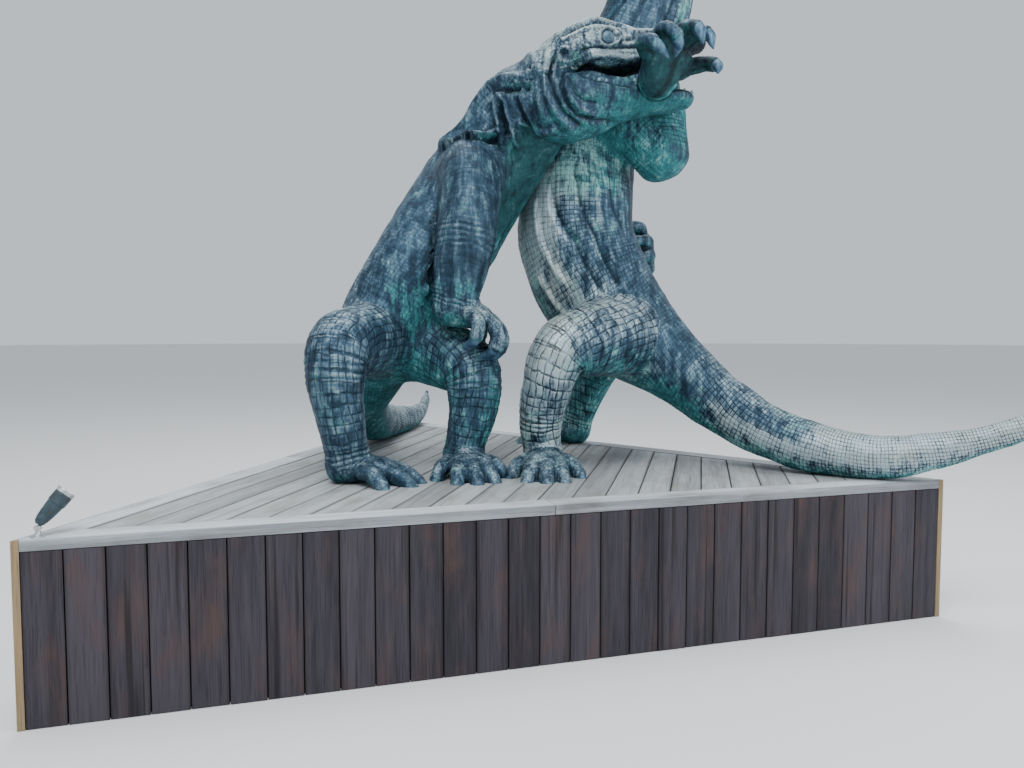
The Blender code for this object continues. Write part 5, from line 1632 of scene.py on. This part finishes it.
def dress_frame(settings):
    """Finishes for the timber that keeps its CAD shape: corner battens and the frame behind the boards."""
    yellow = finish("batten_timber", lambda: timber_finish(
        "batten_timber", settings.batten_light, settings.batten_dark, (0.30, 0.20, 0.10), 9.0, 0.3,
        boards=False))
    black = finish("frame_timber", lambda: timber_finish(
        "frame_timber", (0.03, 0.027, 0.026), (0.010, 0.009, 0.009), (0.02, 0.016, 0.014), 9.0, 0.3,
        boards=False))
    for name, material in (("plinth_batten_front_left", yellow), ("plinth_batten_front_right", yellow),
                           ("plinth_batten_back", yellow), ("plinth_frame", black)):
        thing = bpy.data.objects[name]
        for slot in thing.material_slots:
            slot.material = material


def turned_shape(profile, base, tip, sides=40):
    """A closed lathe shape on the line from base to tip: (share of the line, radius)."""
    line = Vector(tip) - Vector(base)
    turn = line.to_track_quat("Z", "Y").to_matrix()
    points, faces = [], []
    for share, radius in profile:
        for k in range(sides):
            spin = 2 * math.pi * k / sides
            points.append(Vector(base) + line * share
                          + turn @ Vector((radius * math.cos(spin), radius * math.sin(spin), 0)))
    for i in range(len(profile) - 1):
        a, b = i * sides, (i + 1) * sides
        faces.extend((a + k, a + (k + 1) % sides, b + (k + 1) % sides, b + k) for k in range(sides))
    faces.append(tuple(reversed(range(sides))))
    faces.append(tuple((len(profile) - 1) * sides + k for k in range(sides)))
    return mesh_from([tuple(p) for p in points], faces)


def painted_metal(name, colour, metal, rough):
    """Sun-bleached paint or metal with dust, small stains and a fine orange-peel surface."""
    material, graph, shader = new_finish(name)
    place = graph.add("ShaderNodeTexCoord").outputs["Object"]
    patch = graph.noise(place, 40.0, 4.0, 0.6)
    grit = graph.noise(place, 420.0, 2.0, 0.5)
    pale = [min(1.0, 1.5 * c + 0.02) for c in colour]
    shade = graph.mix(graph.step(patch, 0.40, 0.72), tint(colour), tint(pale))
    shade = graph.mix(graph.math("MULTIPLY", graph.step(patch, 0.42, 0.30), 0.7), shade, (0.03, 0.03, 0.028, 1))
    links = graph.tree.links
    links.new(shade, shader.inputs["Base Color"])
    links.new(graph.math("ADD", rough, graph.math("MULTIPLY", patch, 0.25)), shader.inputs["Roughness"])
    shader.inputs["Metallic"].default_value = metal
    bump = graph.add("ShaderNodeBump", {"Height": grit, "Distance": 0.0004, "Strength": 1.0})
    links.new(bump.outputs[0], shader.inputs["Normal"])
    return material


def dress_lamp(settings):
    """The spot lamp on the corner: round foot, knuckle, tapered housing, bright rim and lens."""
    foot_low, foot_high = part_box("lamp_bracket")
    middle = (foot_low + foot_high) / 2
    radius = (foot_high - foot_low).x / 2
    base = Vector((middle.x, middle.y, foot_low.z))
    knee = Vector((middle.x, middle.y, foot_high.z))
    steel = finish("lamp_steel", lambda: painted_metal("lamp_steel", (0.42, 0.44, 0.46), 0.85, 0.30))
    paint = finish("lamp_paint", lambda: painted_metal("lamp_paint", settings.lamp_colour, 0.0, 0.42))
    foot = shown("lamp_foot", turned_shape(
        [(0, radius), (0.06, radius), (0.10, radius * 0.96), (0.16, radius * 0.55), (0.24, 0.012),
         (0.62, 0.009), (0.68, 0.014), (0.98, 0.014), (1.0, 0.012)], base, knee))
    foot.data.materials.append(steel)
    keep(foot, "lamp_bracket", "lamp_bracket")
    start = knee + Vector((0, 0, 0.006))
    tip = middle + Vector(LAMP_LEAN)
    wide = LAMP_RADIUS
    housing = shown("lamp_housing", turned_shape(
        [(0, 0.012), (0.03, 0.016), (0.06, 0.020), (0.10, wide * 0.58), (0.14, wide * 0.66),
         (0.34, wide * 0.80), (0.60, wide * 0.90), (0.61, wide * 0.90), (0.62, wide * 0.97),
         (0.86, wide * 0.99), (0.88, wide * 0.97), (0.94, wide * 0.97), (0.94, wide * 0.80)], start, tip))
    housing.data.materials.append(paint)
    keep(housing, "lamp_body", "lamp_body")
    rim = shown("lamp_rim", turned_shape(
        [(0.90, wide * 0.975), (0.905, wide), (0.99, wide), (1.0, wide * 0.985), (1.0, wide * 0.86),
         (0.965, wide * 0.84), (0.95, wide * 0.70), (0.94, 0.004)], start, tip))
    rim.data.materials.append(steel)
    keep(rim, "lamp_body")


# ---- add-on

class SculptureSettings(bpy.types.PropertyGroup):
    """Sizes and colours of the sculpture's finishes."""

    patina_colour: bpy.props.FloatVectorProperty(
        name="Dark patina", description="Colour of the dark bronze", subtype="COLOR", size=3,
        min=0, max=1, default=(0.042, 0.096, 0.152))
    verdigris_colour: bpy.props.FloatVectorProperty(
        name="Verdigris", description="Colour of the green patina", subtype="COLOR", size=3,
        min=0, max=1, default=(0.036, 0.208, 0.225))
    # painted sky light on faces turned up takes this colour, as well as rubbed and dusty crests
    rubbed_and_sky_lit_colour: bpy.props.FloatVectorProperty(
        name="Pale bloom", description="Colour of rubbed and dusty crests", subtype="COLOR", size=3,
        min=0, max=1, default=(0.36, 0.455, 0.49))
    cladding_light: bpy.props.FloatVectorProperty(
        name="Cladding, light", description="Lighter shade of the upright boards", subtype="COLOR", size=3,
        min=0, max=1, default=(0.060, 0.054, 0.066))
    cladding_dark: bpy.props.FloatVectorProperty(
        name="Cladding, dark", description="Darker shade of the upright boards", subtype="COLOR", size=3,
        min=0, max=1, default=(0.017, 0.016, 0.021))
    deck_light: bpy.props.FloatVectorProperty(
        name="Deck, light", description="Lighter shade of the deck boards", subtype="COLOR", size=3,
        min=0, max=1, default=(0.40, 0.43, 0.44))
    deck_dark: bpy.props.FloatVectorProperty(
        name="Deck, dark", description="Darker shade of the deck boards", subtype="COLOR", size=3,
        min=0, max=1, default=(0.18, 0.19, 0.20))
    # painted light: the edge boards are a lighter copy of the deck's grey timber, brightening their upright
    # faces that the light from above leaves in shade
    edge_light: bpy.props.FloatVectorProperty(
        name="Edge boards, light", description="Lighter shade of the edge boards", subtype="COLOR", size=3,
        min=0, max=1, default=(0.54, 0.58, 0.62))
    edge_dark: bpy.props.FloatVectorProperty(
        name="Edge boards, dark", description="Darker shade of the edge boards", subtype="COLOR", size=3,
        min=0, max=1, default=(0.28, 0.30, 0.32))
    batten_light: bpy.props.FloatVectorProperty(
        name="Battens, light", description="Lighter shade of the corner battens", subtype="COLOR", size=3,
        min=0, max=1, default=(0.36, 0.27, 0.16))
    batten_dark: bpy.props.FloatVectorProperty(
        name="Battens, dark", description="Darker shade of the corner battens", subtype="COLOR", size=3,
        min=0, max=1, default=(0.16, 0.12, 0.07))
    lamp_colour: bpy.props.FloatVectorProperty(
        name="Lamp paint", description="Colour of the lamp's housing", subtype="COLOR", size=3,
        min=0, max=1, default=(0.014, 0.034, 0.046))
    cladding_width: bpy.props.FloatProperty(
        name="Cladding board width", description="Upright board with its gap", unit="LENGTH", default=0.148)
    deck_width: bpy.props.FloatProperty(
        name="Deck board width", description="Deck board with its gap", unit="LENGTH", default=0.150)
    board_gap: bpy.props.FloatProperty(
        name="Gap between boards", description="Open joint between two boards", unit="LENGTH", default=0.005)


class BRONZE_OT_left_dragon(bpy.types.Operator):
    """Dresses the dragon on the left with its skin, claws, teeth and eyes"""

    bl_idname = "bronze.left_dragon"
    bl_label = "Left Dragon"

    def execute(self, context):
        dress_dragon(context.scene.sculpture, left_dragon(), right_dragon(), True)
        return {"FINISHED"}


class BRONZE_OT_right_dragon(bpy.types.Operator):
    """Dresses the dragon on the right with its skin, claws, teeth and eyes"""

    bl_idname = "bronze.right_dragon"
    bl_label = "Right Dragon"

    def execute(self, context):
        dress_dragon(context.scene.sculpture, right_dragon(), left_dragon(), False)
        return {"FINISHED"}


class BRONZE_OT_cladding(bpy.types.Operator):
    """Puts the upright boards on the plinth's sides"""

    bl_idname = "bronze.cladding"
    bl_label = "Cladding Boards"

    def execute(self, context):
        dress_cladding(context.scene.sculpture)
        return {"FINISHED"}


class BRONZE_OT_deck(bpy.types.Operator):
    """Lays the deck boards and the edge boards round them"""

    bl_idname = "bronze.deck"
    bl_label = "Deck and Edge Boards"

    def execute(self, context):
        dress_deck(context.scene.sculpture)
        dress_edges(context.scene.sculpture)
        return {"FINISHED"}


class BRONZE_OT_frame(bpy.types.Operator):
    """Gives the corner battens and the hidden frame their timber"""

    bl_idname = "bronze.frame"
    bl_label = "Battens and Frame"

    def execute(self, context):
        dress_frame(context.scene.sculpture)
        return {"FINISHED"}


class BRONZE_OT_lamp(bpy.types.Operator):
    """Builds the spot lamp on the plinth's corner"""

    bl_idname = "bronze.lamp"
    bl_label = "Corner Lamp"

    def execute(self, context):
        dress_lamp(context.scene.sculpture)
        return {"FINISHED"}


class BRONZE_OT_stage(bpy.types.Operator):
    """Sets the pale floor, the soft lights and the camera"""

    bl_idname = "bronze.stage"
    bl_label = "Studio Stage"

    def execute(self, context):
        studio()
        return {"FINISHED"}


OPERATORS = (BRONZE_OT_left_dragon, BRONZE_OT_right_dragon, BRONZE_OT_cladding, BRONZE_OT_deck,
             BRONZE_OT_frame, BRONZE_OT_lamp, BRONZE_OT_stage)


class BRONZE_PT_panel(bpy.types.Panel):
    """Lists the sculpture's settings and builders"""

    bl_idname = "BRONZE_PT_panel"
    bl_label = "Wrestling Dragons"
    bl_space_type = "VIEW_3D"
    bl_region_type = "UI"
    bl_category = "Bronze"

    def draw(self, context):
        for name in SculptureSettings.__annotations__:
            self.layout.prop(context.scene.sculpture, name)
        for operator in OPERATORS:
            self.layout.operator(operator.bl_idname)


CLASSES = (SculptureSettings, *OPERATORS, BRONZE_PT_panel)


def register():
    for kind in CLASSES:
        bpy.utils.register_class(kind)
    bpy.types.Scene.sculpture = bpy.props.PointerProperty(type=SculptureSettings)


def unregister():
    del bpy.types.Scene.sculpture
    for kind in reversed(CLASSES):
        bpy.utils.unregister_class(kind)


def main():
    register()
    bpy.ops.bronze.left_dragon()
    bpy.ops.bronze.right_dragon()
    bpy.ops.bronze.cladding()
    bpy.ops.bronze.deck()
    bpy.ops.bronze.frame()
    bpy.ops.bronze.lamp()
    bpy.ops.bronze.stage()


if __name__ == "__main__":
    main()
